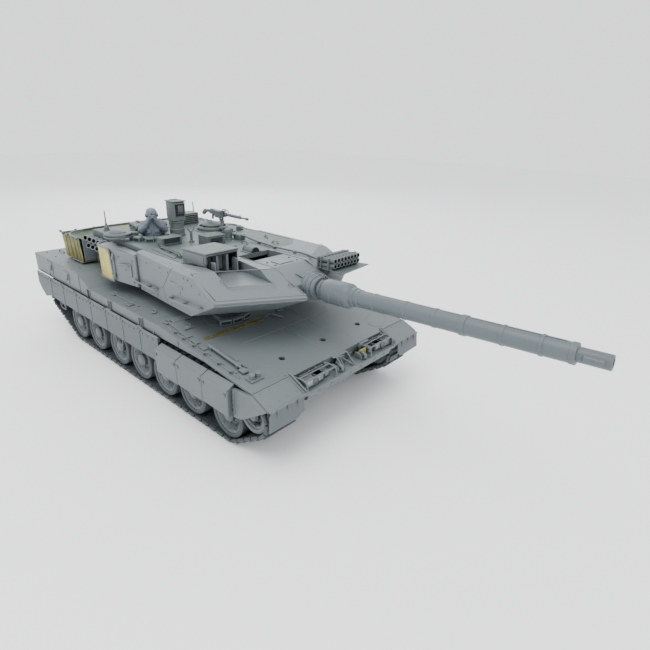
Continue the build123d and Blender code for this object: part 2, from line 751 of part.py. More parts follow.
# ---- Gunner's sight: an armoured hood over a window, with two side doors standing open ----
sight_top = 156.3
with BuildPart() as gunner_sight:
    with BuildSketch(Plane.XZ.offset(31.0)):
        with BuildLine():
            Polyline(
                (-11.6, trough_floor), (-11.6, roof_z), (-37.5, roof_z), (-37.5, sight_top - 1.5), (1.2, sight_top),
                (1.2, sight_top - 9.0), (-3.0, trough_floor), close=True,
            )
        make_face()
    extrude(amount=38.2)
    with Locations((-3.0, -50.1, 145.0)):
        Box(16.0, 33.5, 17.6, mode=Mode.SUBTRACT)
    with Locations((-6.5, -56.5, 144.8), (-6.5, -43.5, 144.8)):
        Box(9.0, 1.6, 18.0)
    with Locations((-8.0, -50.0, 144.8)):
        Box(6.0, 9.0, 14.0)
    with BuildSketch(Plane.XY.offset(trough_floor)):
        with Locations((2.6, -62.0), (2.6, -36.5)):
            Rectangle(6.8, 1.4)
    extrude(amount=14.0)
save(gunner_sight.part, "gunner_sight")

# ---- Rear stowage basket with an open top, and a curved stowage bin on each turret side ----
with BuildPart() as stowage_basket:
    with BuildSketch(Plane.XY.offset(turret_low + 1.6)):
        with BuildLine():
            Polyline((-236.2, 88.0), (-236.2, -88.0), (-288.0, -88.0), (-288.0, 88.0), close=True)
        make_face()
    extrude(amount=32.4, taper=-3)
    with BuildSketch(Plane.XY.offset(turret_low + 3.0)):
        with Locations((-262.0, 0)):
            Rectangle(48.0, 172.0)
    extrude(amount=33.0, taper=-3, mode=Mode.SUBTRACT)
    split(bisect_by=Plane.YZ.offset(-236.2), keep=Keep.BOTTOM)
    with Locations((-237.4, 0, 118.0)):
        Box(2.4, 170.0, 30.0)
save(stowage_basket.part, "stowage_basket")

with BuildPart() as side_bins:
    for side in (1, -1):
        with BuildSketch(Plane.XY.offset(turret_low + 1.6)):
            with BuildLine():
                Polyline(
                    (-100.5, side * 78.2), (-100.5, side * 88.0),
                    (-138.0, side * 93.0), (-170.0, side * 93.0),
                    (-178.0, side * 88.0), (-178.0, side * 74.9), close=True,
                )
            make_face()
        extrude(amount=36.0)
        fillet(side_bins.edges().filter_by(Axis.Z).sort_by(Axis.X)[:1], radius=3.0)
save(side_bins.part, "side_bins")

# ---- Smoke launchers: two rows of short tubes on a bracket at each rear corner ----
with BuildPart() as smoke_launchers:
    for side in (1, -1):
        with Locations((-208.0, side * 76.4, 130.0)):
            Box(54.0, 3.4, 12.0)
        for row_z, shift in ((134.5, 0.0), (126.0, 6.0)):
            for i in range(4):
                tube_x = -228.0 + shift + i * 11.5
                tube_plane = Plane(
                    origin=(tube_x, side * 77.0, row_z), z_dir=(0.55, side * 1.0, 0.3)
                )
                with BuildSketch(tube_plane):
                    Circle(3.3)
                extrude(amount=12.0)
                with BuildSketch(tube_plane.offset(3.0)):
                    Circle(2.5)
                extrude(amount=12.0, mode=Mode.SUBTRACT)
save(smoke_launchers.part, "smoke_launchers")

# ---- Roof: sights, hatches, crew member, weapon, launcher bank, hose, aerials and rolled sheets ----
sight_base = (-142.0, -11.0)
with BuildPart() as panoramic_sight:
    with Locations((sight_base[0], sight_base[1], roof_z + 10.1)):
        Cylinder(9.0, 20.0)
    with Locations((sight_base[0], sight_base[1], 174.0)):
        Box(17.0, 17.0, 24.0)
    with Locations((sight_base[0] + 8.0, sight_base[1], 176.0)):
        Box(3.0, 10.0, 13.0, mode=Mode.SUBTRACT)
save(panoramic_sight.part, "panoramic_sight")

lid_pivot = (-154.0, -60.5)
lid_at = (-158.0, -76.5)
with BuildPart() as commander_hatch:
    with Locations((lid_at[0], lid_at[1], 152.0)):
        Cylinder(14.0, 2.4)
    with Locations((lid_at[0], lid_at[1], 153.9)):
        Cylinder(9.0, 1.4)
    with Locations((-155.5, -66.0, 150.4)):
        Box(5.0, 14.0, 1.6)
    with Locations((lid_pivot[0], lid_pivot[1], 148.4)):
        Cylinder(2.2, 3.4)
save(commander_hatch.part, "commander_hatch")

ring_top = roof_z + 2.6
lid_z = ring_top + 3.0
loader_pivot = (-152.0, 63.0)
with BuildPart() as loader_hatch:
    with BuildSketch(Plane.XY.offset(lid_z)):
        with Locations(loader_at):
            Circle(14.0)
    extrude(amount=2.4, taper=18)
    with BuildSketch(Plane.XY.offset(lid_z)):
        with Locations(loader_pivot):
            Circle(2.4)
        with Locations((-147.0, 51.5)):
            Circle(2.4)
        make_hull()
    extrude(amount=1.4)
    with Locations((loader_pivot[0], loader_pivot[1], (roof_z + lid_z) / 2 + 0.1)):
        Cylinder(1.8, lid_z - roof_z)
save(loader_hatch.part, "loader_hatch")

with BuildPart() as weapon_ring:
    with BuildSketch(Plane.XY.offset(ring_top + 0.2)):
        with Locations(loader_at):
            Circle(19.3)
            Circle(17.0, mode=Mode.SUBTRACT)
    extrude(amount=2.2)
    with Locations((loader_at[0] + 20.0, loader_at[1], ring_top + 8.4)):
        Box(4.0, 5.0, 16.4)
    with Locations((loader_at[0] + 20.0, loader_at[1], ring_top + 13.6)):
        Box(10.0, 2.2, 9.0, mode=Mode.SUBTRACT)
    with Locations((loader_at[0] + 20.0, loader_at[1], ring_top + 1.3)):
        Box(5.0, 5.0, 2.2)
save(weapon_ring.part, "weapon_ring")

gun_pin = (loader_at[0] + 20.0, loader_at[1], ring_top + 15.0)
with BuildPart() as machine_gun:
    with Locations((gun_pin[0] - 6.0, gun_pin[1], gun_pin[2] + 5.6)):
        Box(34.0, 4.4, 6.0)
    with Locations((gun_pin[0] + 28.0, gun_pin[1], gun_pin[2] + 5.8)):
        Cylinder(1.9, 36.0, rotation=(0, 90, 0))
    with Locations((gun_pin[0] + 48.0, gun_pin[1], gun_pin[2] + 5.8)):
        Cylinder(1.1, 8.0, rotation=(0, 90, 0))
    with BuildSketch(Plane.XZ.offset(-gun_pin[1])):
        with BuildLine():
            Polyline(
                (gun_pin[0] - 22.0, gun_pin[2] + 7.5), (gun_pin[0] - 40.0, gun_pin[2] + 9.0),
                (gun_pin[0] - 40.0, gun_pin[2] - 1.0), (gun_pin[0] - 34.0, gun_pin[2] + 2.6),
                (gun_pin[0] - 22.0, gun_pin[2] + 3.4), close=True,
            )
        make_face()
    extrude(amount=1.6, both=True)
    with Locations((gun_pin[0], gun_pin[1], gun_pin[2] + 2.0)):
        Box(4.0, 1.8, 4.0)
    with Locations((gun_pin[0] + 4.0, gun_pin[1] - 5.9, gun_pin[2] + 6.6)):
        Box(9.0, 7.4, 8.0)
save(machine_gun.part, "machine_gun")

with BuildPart() as crew_figure:
    x, y = crew_hatch
    with Locations((x, y, 131.5)):
        Cylinder(11.0, 24.0)
    with BuildSketch(Plane.XY.offset(143.0)):
        with Locations((x - 1.0, y)):
            RectangleRounded(17.0, 22.0, 5.0)
    extrude(amount=25.0)
    with Locations((x + 4.0, y, 172.5)):
        Sphere(8.0)
    with Locations((x - 1.0, y, 166.0)):
        Cylinder(5.0, 8.0)
    for side in (1, -1):
        with Locations((x + 11.0, y + side * 8.5, 163.0)):
            Box(17.0, 6.0, 7.0)
save(crew_figure.part, "crew_figure")

launcher_z = 138.6
with BuildPart() as launcher_bank:
    with BuildSketch(Plane.XY.offset(launcher_z)):
        with BuildLine():
            Polyline((60.0, 21.8), (97.0, 21.8), (92.0, 70.0), (58.0, 60.0), close=True)
        make_face()
    extrude(amount=1.4)
    for row_z in (launcher_z + 4.3, launcher_z + 9.6):
        for i in range(8):
            tube_plane = Plane(origin=(64.0, 24.6 + i * 5.2, row_z), z_dir=(1.0, 0, 0.06))
            with BuildSketch(tube_plane):
                Circle(2.75)
            extrude(amount=21.0)
            with BuildSketch(tube_plane.offset(8.0)):
                Circle(1.9)
            extrude(amount=14.0, mode=Mode.SUBTRACT)
    with BuildSketch(Plane.XZ.offset(-24.0)):
        with BuildLine():
            Polyline((60.4, launcher_z), (80.0, launcher_z), (74.0, 132.4), (60.4, 138.4), close=True)
        make_face()
    extrude(amount=-3.0)
save(launcher_bank.part, "launcher_bank")

canister_at = (-84.0, 20.0)
hose_r = 1.2
hose_route = [
    (canister_at[0] + 4.8, canister_at[1] + 4.0, 150.0),
    (-68.0, 31.0, 150.0),
    (-54.0, 34.0, 145.9),
    (-34.0, 33.0, 145.9),
    (-12.0, 30.0, 146.0),
    (10.0, 31.0, 146.2),
    (32.0, 33.5, 146.2),
    (47.0, 33.0, 144.8),
    (59.0, 31.0, 144.2),
]
with BuildPart() as roof_fittings:
    with Locations((canister_at[0], canister_at[1], roof_z + 5.5)):
        Cylinder(5.5, 11.0)
    with Locations((-78.0, -6.0, roof_z + 5.0)):
        Box(18.0, 24.0, 10.0)
    with Locations((-199.0, 33.0, roof_z + 7.0)):
        Box(18.0, 34.0, 14.0)
    with Locations((-20.0, 3.0, roof_z - 0.4)):
        Cylinder(5.0, 15.0, rotation=(0, 90, 0))
    with Locations((-104.0, -44.0, roof_z + 4.5)):
        Box(10.0, 24.0, 9.0)
    with BuildSketch(Plane.XY.offset(roof_z)):
        with Locations((-98.0, -20.0)):
            Circle(1.3)
    extrude(amount=12.0)
    split(bisect_by=Plane.XY.offset(roof_z), keep=Keep.TOP)
save(roof_fittings.part, "roof_fittings")

hose_radii = []
for before, here, after in zip(hose_route[:-2], hose_route[1:-1], hose_route[2:]):
    run_in = Vector(*here) - Vector(*before)
    run_out = Vector(*after) - Vector(*here)
    turn = math.radians(run_in.get_angle(run_out))
    hose_radii.append(0.45 * min(run_in.length, run_out.length) / math.tan(turn / 2))
with BuildPart() as roof_hose:
    with BuildLine() as hose_line:
        FilletPolyline(*hose_route, radius=hose_radii)
    with BuildSketch(Plane(origin=hose_line.line @ 0, z_dir=hose_line.line % 0)):
        Circle(hose_r)
    sweep(path=hose_line.line)
hose_length = sum(edge.length for edge in hose_line.edges())
print("hose length", round(hose_length, 1), "bend radii", [round(r, 1) for r in hose_radii])
hose_volume = math.pi * hose_r ** 2 * hose_length
print("hose volume", round(roof_hose.part.volume, 1), "of", round(hose_volume, 1))
save(roof_hose.part, "roof_hose")

with BuildPart() as antennas:
    for x, y in ((-219.0, -62.0), (-219.0, 62.0)):
        with Locations((x, y, roof_z + 2.0)):
            Cylinder(3.0, 4.0)
        with Locations((x, y, roof_z + 14.0)):
            Cone(0.9, 0.5, 22.0)
save(antennas.part, "antennas")

with BuildPart() as roof_tarps:
    for x, length in ((-190.0, 44.0), (-203.0, 40.0)):
        with Locations((x, -20.0, roof_z + 5.5)):
            Cylinder(5.4, length, rotation=(90, 0, 0))
save(roof_tarps.part, "roof_tarps")

# ---- Gun: mantlet block on the trunnions, and the barrel with evacuator and thermal sleeve ----
tilt = math.radians(gun_tilt)
gun_dir = Vector(math.cos(tilt), 0, math.sin(tilt))
gun_side = Plane(origin=trunnion, x_dir=gun_dir, z_dir=(0, -1, 0))
gun_axis = Axis(trunnion, gun_dir)
mantlet_half = slot_half - 0.6

with BuildPart() as gun_mantlet:
    with BuildSketch(Plane.XZ):
        with BuildLine():
            Polyline(
                (trunnion[0], trunnion[2] + 17.0), (trunnion[0] + 4.0, 143.6), (45.0, 143.6), (76.0, 133.0),
                (76.0, 116.0), (40.0, 108.0), (trunnion[0], trunnion[2] - 17.0), close=True,
            )
        make_face()
        with Locations((trunnion[0], trunnion[2])):
            Circle(17.0)
    extrude(amount=mantlet_half, both=True)
    with Locations(trunnion):
        Cylinder(trunnion_r, 2 * mantlet_half + 6.0, rotation=(90, 0, 0))
    with BuildSketch(gun_side):
        with BuildLine():
            Polyline((60.0, 0), (60.0, 14.5), (70.0, 12.6), (collar_end, 11.0), (collar_end, 0), close=True)
        make_face()
    revolve(axis=gun_axis)
    # Socket that guides the barrel as it recoils
    with BuildSketch(gun_side):
        with BuildLine():
            Polyline((28.0, 0), (28.0, 8.05), (80.0, 8.05), (80.0, 0), close=True)
        make_face()
    revolve(axis=gun_axis, mode=Mode.SUBTRACT)
    # Coaxial weapon port beside the barrel
    with Locations((72.0, 15.5, 134.0)):
        Cylinder(1.6, 16.0, rotation=(0, 90, 0))
save(gun_mantlet.part, "gun_mantlet")

with BuildPart() as gun_barrel:
    with BuildSketch(gun_side):
        with BuildLine():
            Polyline(
                (38.0, 0), (38.0, 8.0), (evac_start, 8.0), (evac_start, 10.6), (evac_start + 1.5, evac_r),
                (evac_end - 6.0, evac_r), (evac_end - 2.0, 11.0), (evac_end, 9.4), (evac_end + 3.0, 9.2),
                (evac_end + 3.0, 8.3), (evac_end + 8.0, 8.3), (evac_end + 8.0, sleeve_r),
                (229.0, sleeve_r), (229.0, 8.4), (233.0, 8.4), (233.0, sleeve_r - 0.3),
                (sleeve_end - 4.0, sleeve_r - 0.5), (sleeve_end - 4.0, 8.0), (sleeve_end, 8.0),
                (sleeve_end, muzzle_r),
                (muzzle_end, muzzle_r), (muzzle_end, bore_r), (muzzle_end - bore_depth, bore_r),
                (muzzle_end - bore_depth, 0), close=True,
            )
        make_face()
    revolve(axis=gun_axis)
    reference_at = gun_axis.position + gun_dir * (sleeve_end + 5.0)
    with BuildSketch(Plane(origin=reference_at, x_dir=(0, 1, 0), z_dir=gun_dir)):
        with Locations((-5.6, 0)):
            Rectangle(4.0, 5.0)
        Circle(bore_r + 0.5, mode=Mode.SUBTRACT)
    extrude(amount=13.0)
save(gun_barrel.part, "gun_barrel")
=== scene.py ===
import bmesh
import bpy
import json
import math
import random
from math import copysign, cos, pi, radians, sin
from mathutils import Euler, Matrix, Vector, noise


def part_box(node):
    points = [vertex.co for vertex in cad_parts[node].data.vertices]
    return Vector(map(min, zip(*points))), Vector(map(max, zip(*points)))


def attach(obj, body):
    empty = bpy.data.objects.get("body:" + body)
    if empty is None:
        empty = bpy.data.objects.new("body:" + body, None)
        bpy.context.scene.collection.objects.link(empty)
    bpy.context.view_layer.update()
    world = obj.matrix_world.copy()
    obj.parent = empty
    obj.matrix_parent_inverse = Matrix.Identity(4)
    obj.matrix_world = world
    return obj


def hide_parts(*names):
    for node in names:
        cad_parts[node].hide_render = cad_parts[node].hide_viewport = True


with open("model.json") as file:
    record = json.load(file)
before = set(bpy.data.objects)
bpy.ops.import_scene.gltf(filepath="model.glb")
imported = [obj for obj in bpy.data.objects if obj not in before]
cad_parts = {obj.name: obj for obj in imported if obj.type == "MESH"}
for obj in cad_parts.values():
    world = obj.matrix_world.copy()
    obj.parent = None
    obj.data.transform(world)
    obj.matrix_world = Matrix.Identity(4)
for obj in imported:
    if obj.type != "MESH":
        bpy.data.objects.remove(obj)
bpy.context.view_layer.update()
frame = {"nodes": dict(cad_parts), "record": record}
chance = random.Random(16)
unmoved = Matrix.Identity(4)
print("frame loaded with", len(frame["nodes"]), "nodes")

# Camera, lights and floor. Lengths here are metres; the pieces below are worked out in millimetres.
cameraSetup = {
    "place": (0.37312, -0.31327, 0.27338),
    "azimuth": 128.858,
    "elevation": -20.504,
    "roll": 2.26,
    "lens": 25.5,
    "shift": (-0.0332, -0.0360),
}
lightSetup = {
    "key": ((0.1, -0.5, 1.5), (0.0, 0.0, 0.05), 1.3, 19.0, (1.0, 0.99, 0.97)),
    "rim": ((-1.2, 0.7, 0.9), (0.0, 0.0, 0.1), 1.2, 8.0, (0.92, 0.96, 1.0)),
    "front": ((1.4, -0.9, 0.35), (0.0, 0.0, 0.08), 1.2, 4.5, (1.0, 1.0, 1.0)),
}
stageSetup = {"floorColor": (0.94, 0.945, 0.95, 1.0), "skyColor": (0.97, 0.985, 1.0, 1.0), "skyStrength": 1.6}


def makeCamera(values):
    azimuth, elevation, roll = (radians(values[k]) for k in ("azimuth", "elevation", "roll"))
    forward = Vector((
        cos(elevation) * cos(azimuth),
        cos(elevation) * sin(azimuth),
        sin(elevation),
    ))
    right = forward.cross(Vector((0, 0, 1))).normalized()
    up = right.cross(forward)
    leanRight = cos(roll) * right + sin(roll) * up
    leanUp = -sin(roll) * right + cos(roll) * up
    data = bpy.data.cameras.new("viewCamera")
    data.lens, data.sensor_width = values["lens"], 36.0
    data.shift_x, data.shift_y = values["shift"]
    data.clip_start, data.clip_end = 0.01, 20.0
    camera = bpy.data.objects.new("viewCamera", data)
    turn = Matrix((leanRight, leanUp, -forward)).transposed().to_4x4()
    camera.matrix_world = Matrix.Translation(values["place"]) @ turn
    bpy.context.scene.collection.objects.link(camera)
    bpy.context.scene.camera = camera


def makeLights(values):
    for name, (place, target, size, power, color) in values.items():
        data = bpy.data.lights.new(name + "Light", "AREA")
        data.shape, data.size, data.energy, data.color = "DISK", size, power, color
        lamp = bpy.data.objects.new(name + "Light", data)
        aim = Vector(target) - Vector(place)
        lamp.matrix_world = Matrix.Translation(place) @ aim.to_track_quat("-Z", "Y").to_matrix().to_4x4()
        bpy.context.scene.collection.objects.link(lamp)


# Shader helpers: a socket given as a value is linked, anything else is set on the socket itself
def addNode(tree, kind, sockets=None, **settings):
    made = tree.nodes.new(kind)
    for key, value in settings.items():
        setattr(made, key, value)
    for key, value in (sockets or {}).items():
        if isinstance(value, bpy.types.NodeSocket):
            tree.links.new(value, made.inputs[key])
        else:
            made.inputs[key].default_value = value
    return made


def newGroup(name, inputs, outputs):
    group = bpy.data.node_groups.new(name, "ShaderNodeTree")
    for label, kind, value in inputs:
        socket = group.interface.new_socket(name=label, in_out="INPUT", socket_type="NodeSocket" + kind)
        socket.default_value = value
    for label, kind in outputs:
        group.interface.new_socket(name=label, in_out="OUTPUT", socket_type="NodeSocket" + kind)
    return group, group.nodes.new("NodeGroupInput").outputs, group.nodes.new("NodeGroupOutput").inputs


def mathNode(tree, operation, first, second=0.0, third=0.0):
    made = addNode(tree, "ShaderNodeMath", {0: first, 1: second}, operation=operation, use_clamp=False)
    if operation in ("MULTIPLY_ADD", "SMOOTH_MIN"):
        made.inputs[2].default_value = third
    return made.outputs[0]


def mixColor(tree, share, first, second, blend="MIX"):
    made = addNode(tree, "ShaderNodeMix", {0: share, 6: first, 7: second}, data_type="RGBA", blend_type=blend)
    return made.outputs[2]


def spread(tree, value, low, high, outLow=0.0, outHigh=1.0):
    made = addNode(tree, "ShaderNodeMapRange", {0: value, 1: low, 2: high, 3: outLow, 4: outHigh}, clamp=True)
    return made.outputs[0]


def makeToneAndTopLightGroup():
    # Slow cloudy change of tone, like the flow of plastic in a mould, and a painted cast on faces that look up: on
    # most looks a painted highlight from the light above, on the roof look a darker, greener top colour
    group, given, result = newGroup("moldToneAndTopLight", [
        ("Color", "Color", (0.3, 0.3, 0.3, 1.0)), ("Flow Color", "Color", (0.2, 0.2, 0.2, 1.0)),
        ("Top Light And Tint Color", "Color", (0.3, 0.33, 0.3, 1.0)), ("Top Light And Tint Amount", "Float", 0.5),
        ("Scale", "Float", 22.0), ("Amount", "Float", 0.25),
    ], [("Color", "Color")])
    where = addNode(group, "ShaderNodeTexCoord").outputs["Object"]
    cloud = addNode(group, "ShaderNodeTexNoise", {"Vector": where, "Scale": given["Scale"], "Detail": 4.0})
    share = mathNode(group, "MULTIPLY", spread(group, cloud.outputs[0], 0.32, 0.72), given["Amount"])
    toned = mixColor(group, share, given["Color"], given["Flow Color"])
    facing = addNode(group, "ShaderNodeSeparateXYZ", {0: addNode(group, "ShaderNodeNewGeometry").outputs["Normal"]})
    # painted top light: faces that look up are mixed towards the top colour
    topLightAndTintShare = mathNode(group, "MULTIPLY", spread(group, facing.outputs[2], 0.55, 0.98), given["Top Light And Tint Amount"])
    group.links.new(mixColor(group, topLightAndTintShare, toned, given["Top Light And Tint Color"]), result["Color"])
    return group


def makeEdgeHighlightAndCreaseShadeGroup():
    # Corners lighter as a painted highlight broken into patches, and creases darkened as painted shade
    group, given, result = newGroup("paintedEdgeHighlightAndCreaseShade", [
        ("Color", "Color", (0.3, 0.3, 0.3, 1.0)), ("Edge Highlight Color", "Color", (0.5, 0.5, 0.5, 1.0)),
        ("Crease Shade Color", "Color", (0.1, 0.1, 0.1, 1.0)), ("Edge Highlight", "Float", 0.5), ("Crease Shade", "Float", 0.5),
    ], [("Color", "Color"), ("Edge Highlight Mask", "Float")])
    where = addNode(group, "ShaderNodeTexCoord").outputs["Object"]
    rounded = addNode(group, "ShaderNodeBevel", {"Radius": 0.0007}, samples=4)
    flat = addNode(group, "ShaderNodeNewGeometry").outputs["Normal"]
    agree = addNode(group, "ShaderNodeVectorMath", {0: rounded.outputs[0], 1: flat}, operation="DOT_PRODUCT")
    corner = spread(group, agree.outputs["Value"], 0.995, 0.80)
    patchy = addNode(group, "ShaderNodeTexNoise", {"Vector": where, "Scale": 420.0, "Detail": 3.0})
    broken = mathNode(group, "MULTIPLY", corner, spread(group, patchy.outputs[0], 0.3, 0.6, 0.35, 1.0))
    # painted edge highlight on corners
    edgeHighlight = mathNode(group, "MULTIPLY", broken, given["Edge Highlight"])
    # painted shade: ambient occlusion darkens creases towards the crease colour
    shade = addNode(group, "ShaderNodeAmbientOcclusion", {"Distance": 0.009}, samples=4)
    crease = mathNode(group, "MULTIPLY", spread(group, shade.outputs["AO"], 0.78, 0.2), given["Crease Shade"])
    creaseShaded = mixColor(group, crease, given["Color"], given["Crease Shade Color"])
    group.links.new(mixColor(group, edgeHighlight, creaseShaded, given["Edge Highlight Color"]), result["Color"])
    group.links.new(edgeHighlight, result["Edge Highlight Mask"])
    return group


def makeGrainGroup():
    # Fine satin grain with a few longer flow marks
    group, given, result = newGroup("moldGrain", [
        ("Scale", "Float", 1800.0), ("Depth", "Float", 0.5), ("Roughness", "Float", 0.5), ("Range", "Float", 0.12),
    ], [("Height", "Float"), ("Roughness", "Float")])
    where = addNode(group, "ShaderNodeTexCoord").outputs["Object"]
    fine = addNode(group, "ShaderNodeTexNoise", {"Vector": where, "Scale": given["Scale"], "Detail": 5.0})
    wide = addNode(group, "ShaderNodeTexNoise", {"Vector": where, "Scale": 75.0, "Detail": 3.0, "Distortion": 0.6})
    height = mathNode(group, "ADD", fine.outputs[0], mathNode(group, "MULTIPLY", wide.outputs[0], 0.8))
    group.links.new(mathNode(group, "MULTIPLY", height, given["Depth"]), result["Height"])
    swing = mathNode(group, "MULTIPLY", mathNode(group, "SUBTRACT", wide.outputs[0], 0.5), given["Range"])
    group.links.new(mathNode(group, "ADD", given["Roughness"], swing), result["Roughness"])
    return group


def makeWeaveGroup():
    # Over-and-under threads for cloth and wire mesh, with painted shade in the gaps between them
    group, given, result = newGroup("threadWeave", [
        ("Scale", "Float", 900.0), ("Thread Color", "Color", (0.4, 0.4, 0.4, 1.0)),
        ("Gap Shade Color", "Color", (0.1, 0.1, 0.1, 1.0)),
    ], [("Color", "Color"), ("Height", "Float")])
    where = addNode(group, "ShaderNodeTexCoord").outputs["Object"]
    axes = addNode(group, "ShaderNodeSeparateXYZ", {0: where}).outputs
    along = mathNode(group, "SINE", mathNode(group, "MULTIPLY", axes[1], given["Scale"]))
    rise = mathNode(group, "ADD", axes[0], axes[2])
    across = mathNode(group, "SINE", mathNode(group, "MULTIPLY", rise, given["Scale"]))
    threads = mathNode(group, "ABSOLUTE", mathNode(group, "MULTIPLY", along, across))
    share = spread(group, threads, 0.05, 0.6)
    group.links.new(mixColor(group, share, given["Gap Shade Color"], given["Thread Color"]), result["Color"])
    group.links.new(share, result["Height"])
    return group


toneAndTopLightGroup, edgeHighlightAndCreaseShadeGroup, grainGroup, weaveGroup = makeToneAndTopLightGroup(), makeEdgeHighlightAndCreaseShadeGroup(), makeGrainGroup(), makeWeaveGroup()


def placeGroup(tree, group, sockets):
    made = tree.nodes.new("ShaderNodeGroup")
    made.node_tree = group
    for key, value in sockets.items():
        if isinstance(value, bpy.types.NodeSocket):
            tree.links.new(value, made.inputs[key])
        else:
            made.inputs[key].default_value = value
    return made.outputs


# Finishes. Each look is a dictionary: colour, darker flow colour, painted cast of upward faces (mostly painted top
# light), roughness, grain, painted edge highlight and painted crease shade
looks = {
    "hullPlastic": {
        "color": (0.0945, 0.1126, 0.1184), "flow": (0.0735, 0.0899, 0.0949), "top": (0.1197, 0.1399, 0.1449),
        "topLightAndTintAmount": 0.75,
        "edgeHighlight": (0.2051, 0.2295, 0.2393), "edgeHighlightAmount": 0.55, "crease": (0.0231, 0.0286, 0.031), "creaseShadeAmount": 0.75,
        "roughness": 0.46, "grain": 0.22, "flowAmount": 0.5,
    },
    "turretPlastic": {
        "color": (0.1126, 0.1318, 0.1411), "flow": (0.0903, 0.1079, 0.1155), "top": (0.1252, 0.1436, 0.152),
        "topLightAndTintAmount": 0.6,
        "edgeHighlight": (0.2247, 0.254, 0.2686), "edgeHighlightAmount": 0.6, "crease": (0.0252, 0.031, 0.0336), "creaseShadeAmount": 0.75,
        "roughness": 0.44, "grain": 0.2, "flowAmount": 0.45,
    },
    "roofPlastic": {
        "color": (0.0861, 0.105, 0.1071), "flow": (0.0693, 0.0861, 0.0861), "top": (0.0622, 0.0861, 0.0811),
        "topLightAndTintAmount": 0.85,
        "edgeHighlight": (0.1954, 0.2247, 0.2247), "edgeHighlightAmount": 0.5, "crease": (0.0189, 0.0243, 0.0243), "creaseShadeAmount": 0.7,
        "roughness": 0.52, "grain": 0.26, "flowAmount": 0.55,
    },
    "gunPlastic": {
        "color": (0.0861, 0.105, 0.1155), "flow": (0.0693, 0.0861, 0.0958), "top": (0.0945, 0.1134, 0.1226),
        "topLightAndTintAmount": 0.5,
        "edgeHighlight": (0.1954, 0.2198, 0.2344), "edgeHighlightAmount": 0.5, "crease": (0.021, 0.0261, 0.0294), "creaseShadeAmount": 0.6,
        "roughness": 0.42, "grain": 0.16, "flowAmount": 0.45,
    },
    "skirtRubber": {
        "color": (0.0821, 0.0977, 0.1051), "flow": (0.0677, 0.0821, 0.0886), "top": (0.0821, 0.0984, 0.1026),
        "topLightAndTintAmount": 0.5,
        "edgeHighlight": (0.1758, 0.2002, 0.21), "edgeHighlightAmount": 0.45, "crease": (0.0205, 0.0255, 0.0279), "creaseShadeAmount": 0.7,
        "roughness": 0.58, "grain": 0.35, "flowAmount": 0.55,
    },
    "wheelPlastic": {
        "color": (0.0844, 0.1002, 0.1083), "flow": (0.0668, 0.0809, 0.0879), "top": (0.0914, 0.109, 0.1161),
        "topLightAndTintAmount": 0.4,
        "edgeHighlight": (0.2198, 0.2491, 0.2637), "edgeHighlightAmount": 0.6, "crease": (0.0158, 0.0197, 0.0218), "creaseShadeAmount": 0.85,
        "roughness": 0.45, "grain": 0.2, "flowAmount": 0.45,
    },
    "tyrePlastic": {
        "color": (0.0484, 0.0587, 0.0645), "flow": (0.0371, 0.0461, 0.051), "top": (0.0548, 0.0661, 0.0709),
        "topLightAndTintAmount": 0.4,
        "edgeHighlight": (0.1465, 0.1685, 0.1807), "edgeHighlightAmount": 0.5, "crease": (0.0113, 0.0139, 0.0161), "creaseShadeAmount": 0.8,
        "roughness": 0.66, "grain": 0.4, "flowAmount": 0.5,
    },
    "trackPlastic": {
        "color": (0.0416, 0.0504, 0.0557), "flow": (0.0308, 0.0381, 0.0425), "top": (0.0484, 0.0586, 0.063),
        "topLightAndTintAmount": 0.4,
        "edgeHighlight": (0.1465, 0.1685, 0.1807), "edgeHighlightAmount": 0.6, "crease": (0.0088, 0.0112, 0.0129), "creaseShadeAmount": 0.85,
        "roughness": 0.55, "grain": 0.35, "flowAmount": 0.5,
    },
    "figureResin": {
        "color": (0.1253, 0.1538, 0.189), "flow": (0.0989, 0.1253, 0.1582), "top": (0.1582, 0.189, 0.2242),
        "topLightAndTintAmount": 0.6,
        "edgeHighlight": (0.2686, 0.3028, 0.3419), "edgeHighlightAmount": 0.7, "crease": (0.0264, 0.0352, 0.0483), "creaseShadeAmount": 0.85,
        "roughness": 0.5, "grain": 0.2, "flowAmount": 0.4,
    },
    # near-black look: painted shade in holes, bores, slots and recesses, and the black of a few small parts
    "recessShadeAndBlackPlastic": {
        "color": (0.0068, 0.0083, 0.0088), "flow": (0.0049, 0.0058, 0.0064), "top": (0.0098, 0.0117, 0.0122),
        "topLightAndTintAmount": 0.4,
        "edgeHighlight": (0.0244, 0.0293, 0.0293), "edgeHighlightAmount": 0.3, "crease": (0.0019, 0.0024, 0.0024), "creaseShadeAmount": 0.6,
        "roughness": 0.72, "grain": 0.2, "flowAmount": 0.5,
    },
    "boardGreen": {
        "color": (0.0098, 0.0684, 0.0244), "flow": (0.0073, 0.0488, 0.0195), "top": (0.0122, 0.0781, 0.0293),
        "topLightAndTintAmount": 0.4,
        "edgeHighlight": (0.1465, 0.1465, 0.0977), "edgeHighlightAmount": 0.3, "crease": (0.0024, 0.0098, 0.0049), "creaseShadeAmount": 0.5,
        "roughness": 0.35, "grain": 0.15, "flowAmount": 0.3,
    },
    "batteryWrap": {
        "color": (0.0147, 0.0293, 0.1074), "flow": (0.0098, 0.0195, 0.0781), "top": (0.0195, 0.0391, 0.127),
        "topLightAndTintAmount": 0.4,
        "edgeHighlight": (0.0977, 0.1221, 0.1954), "edgeHighlightAmount": 0.3, "crease": (0.003, 0.0049, 0.0195), "creaseShadeAmount": 0.5,
        "roughness": 0.25, "grain": 0.3, "flowAmount": 0.3,
    },
}


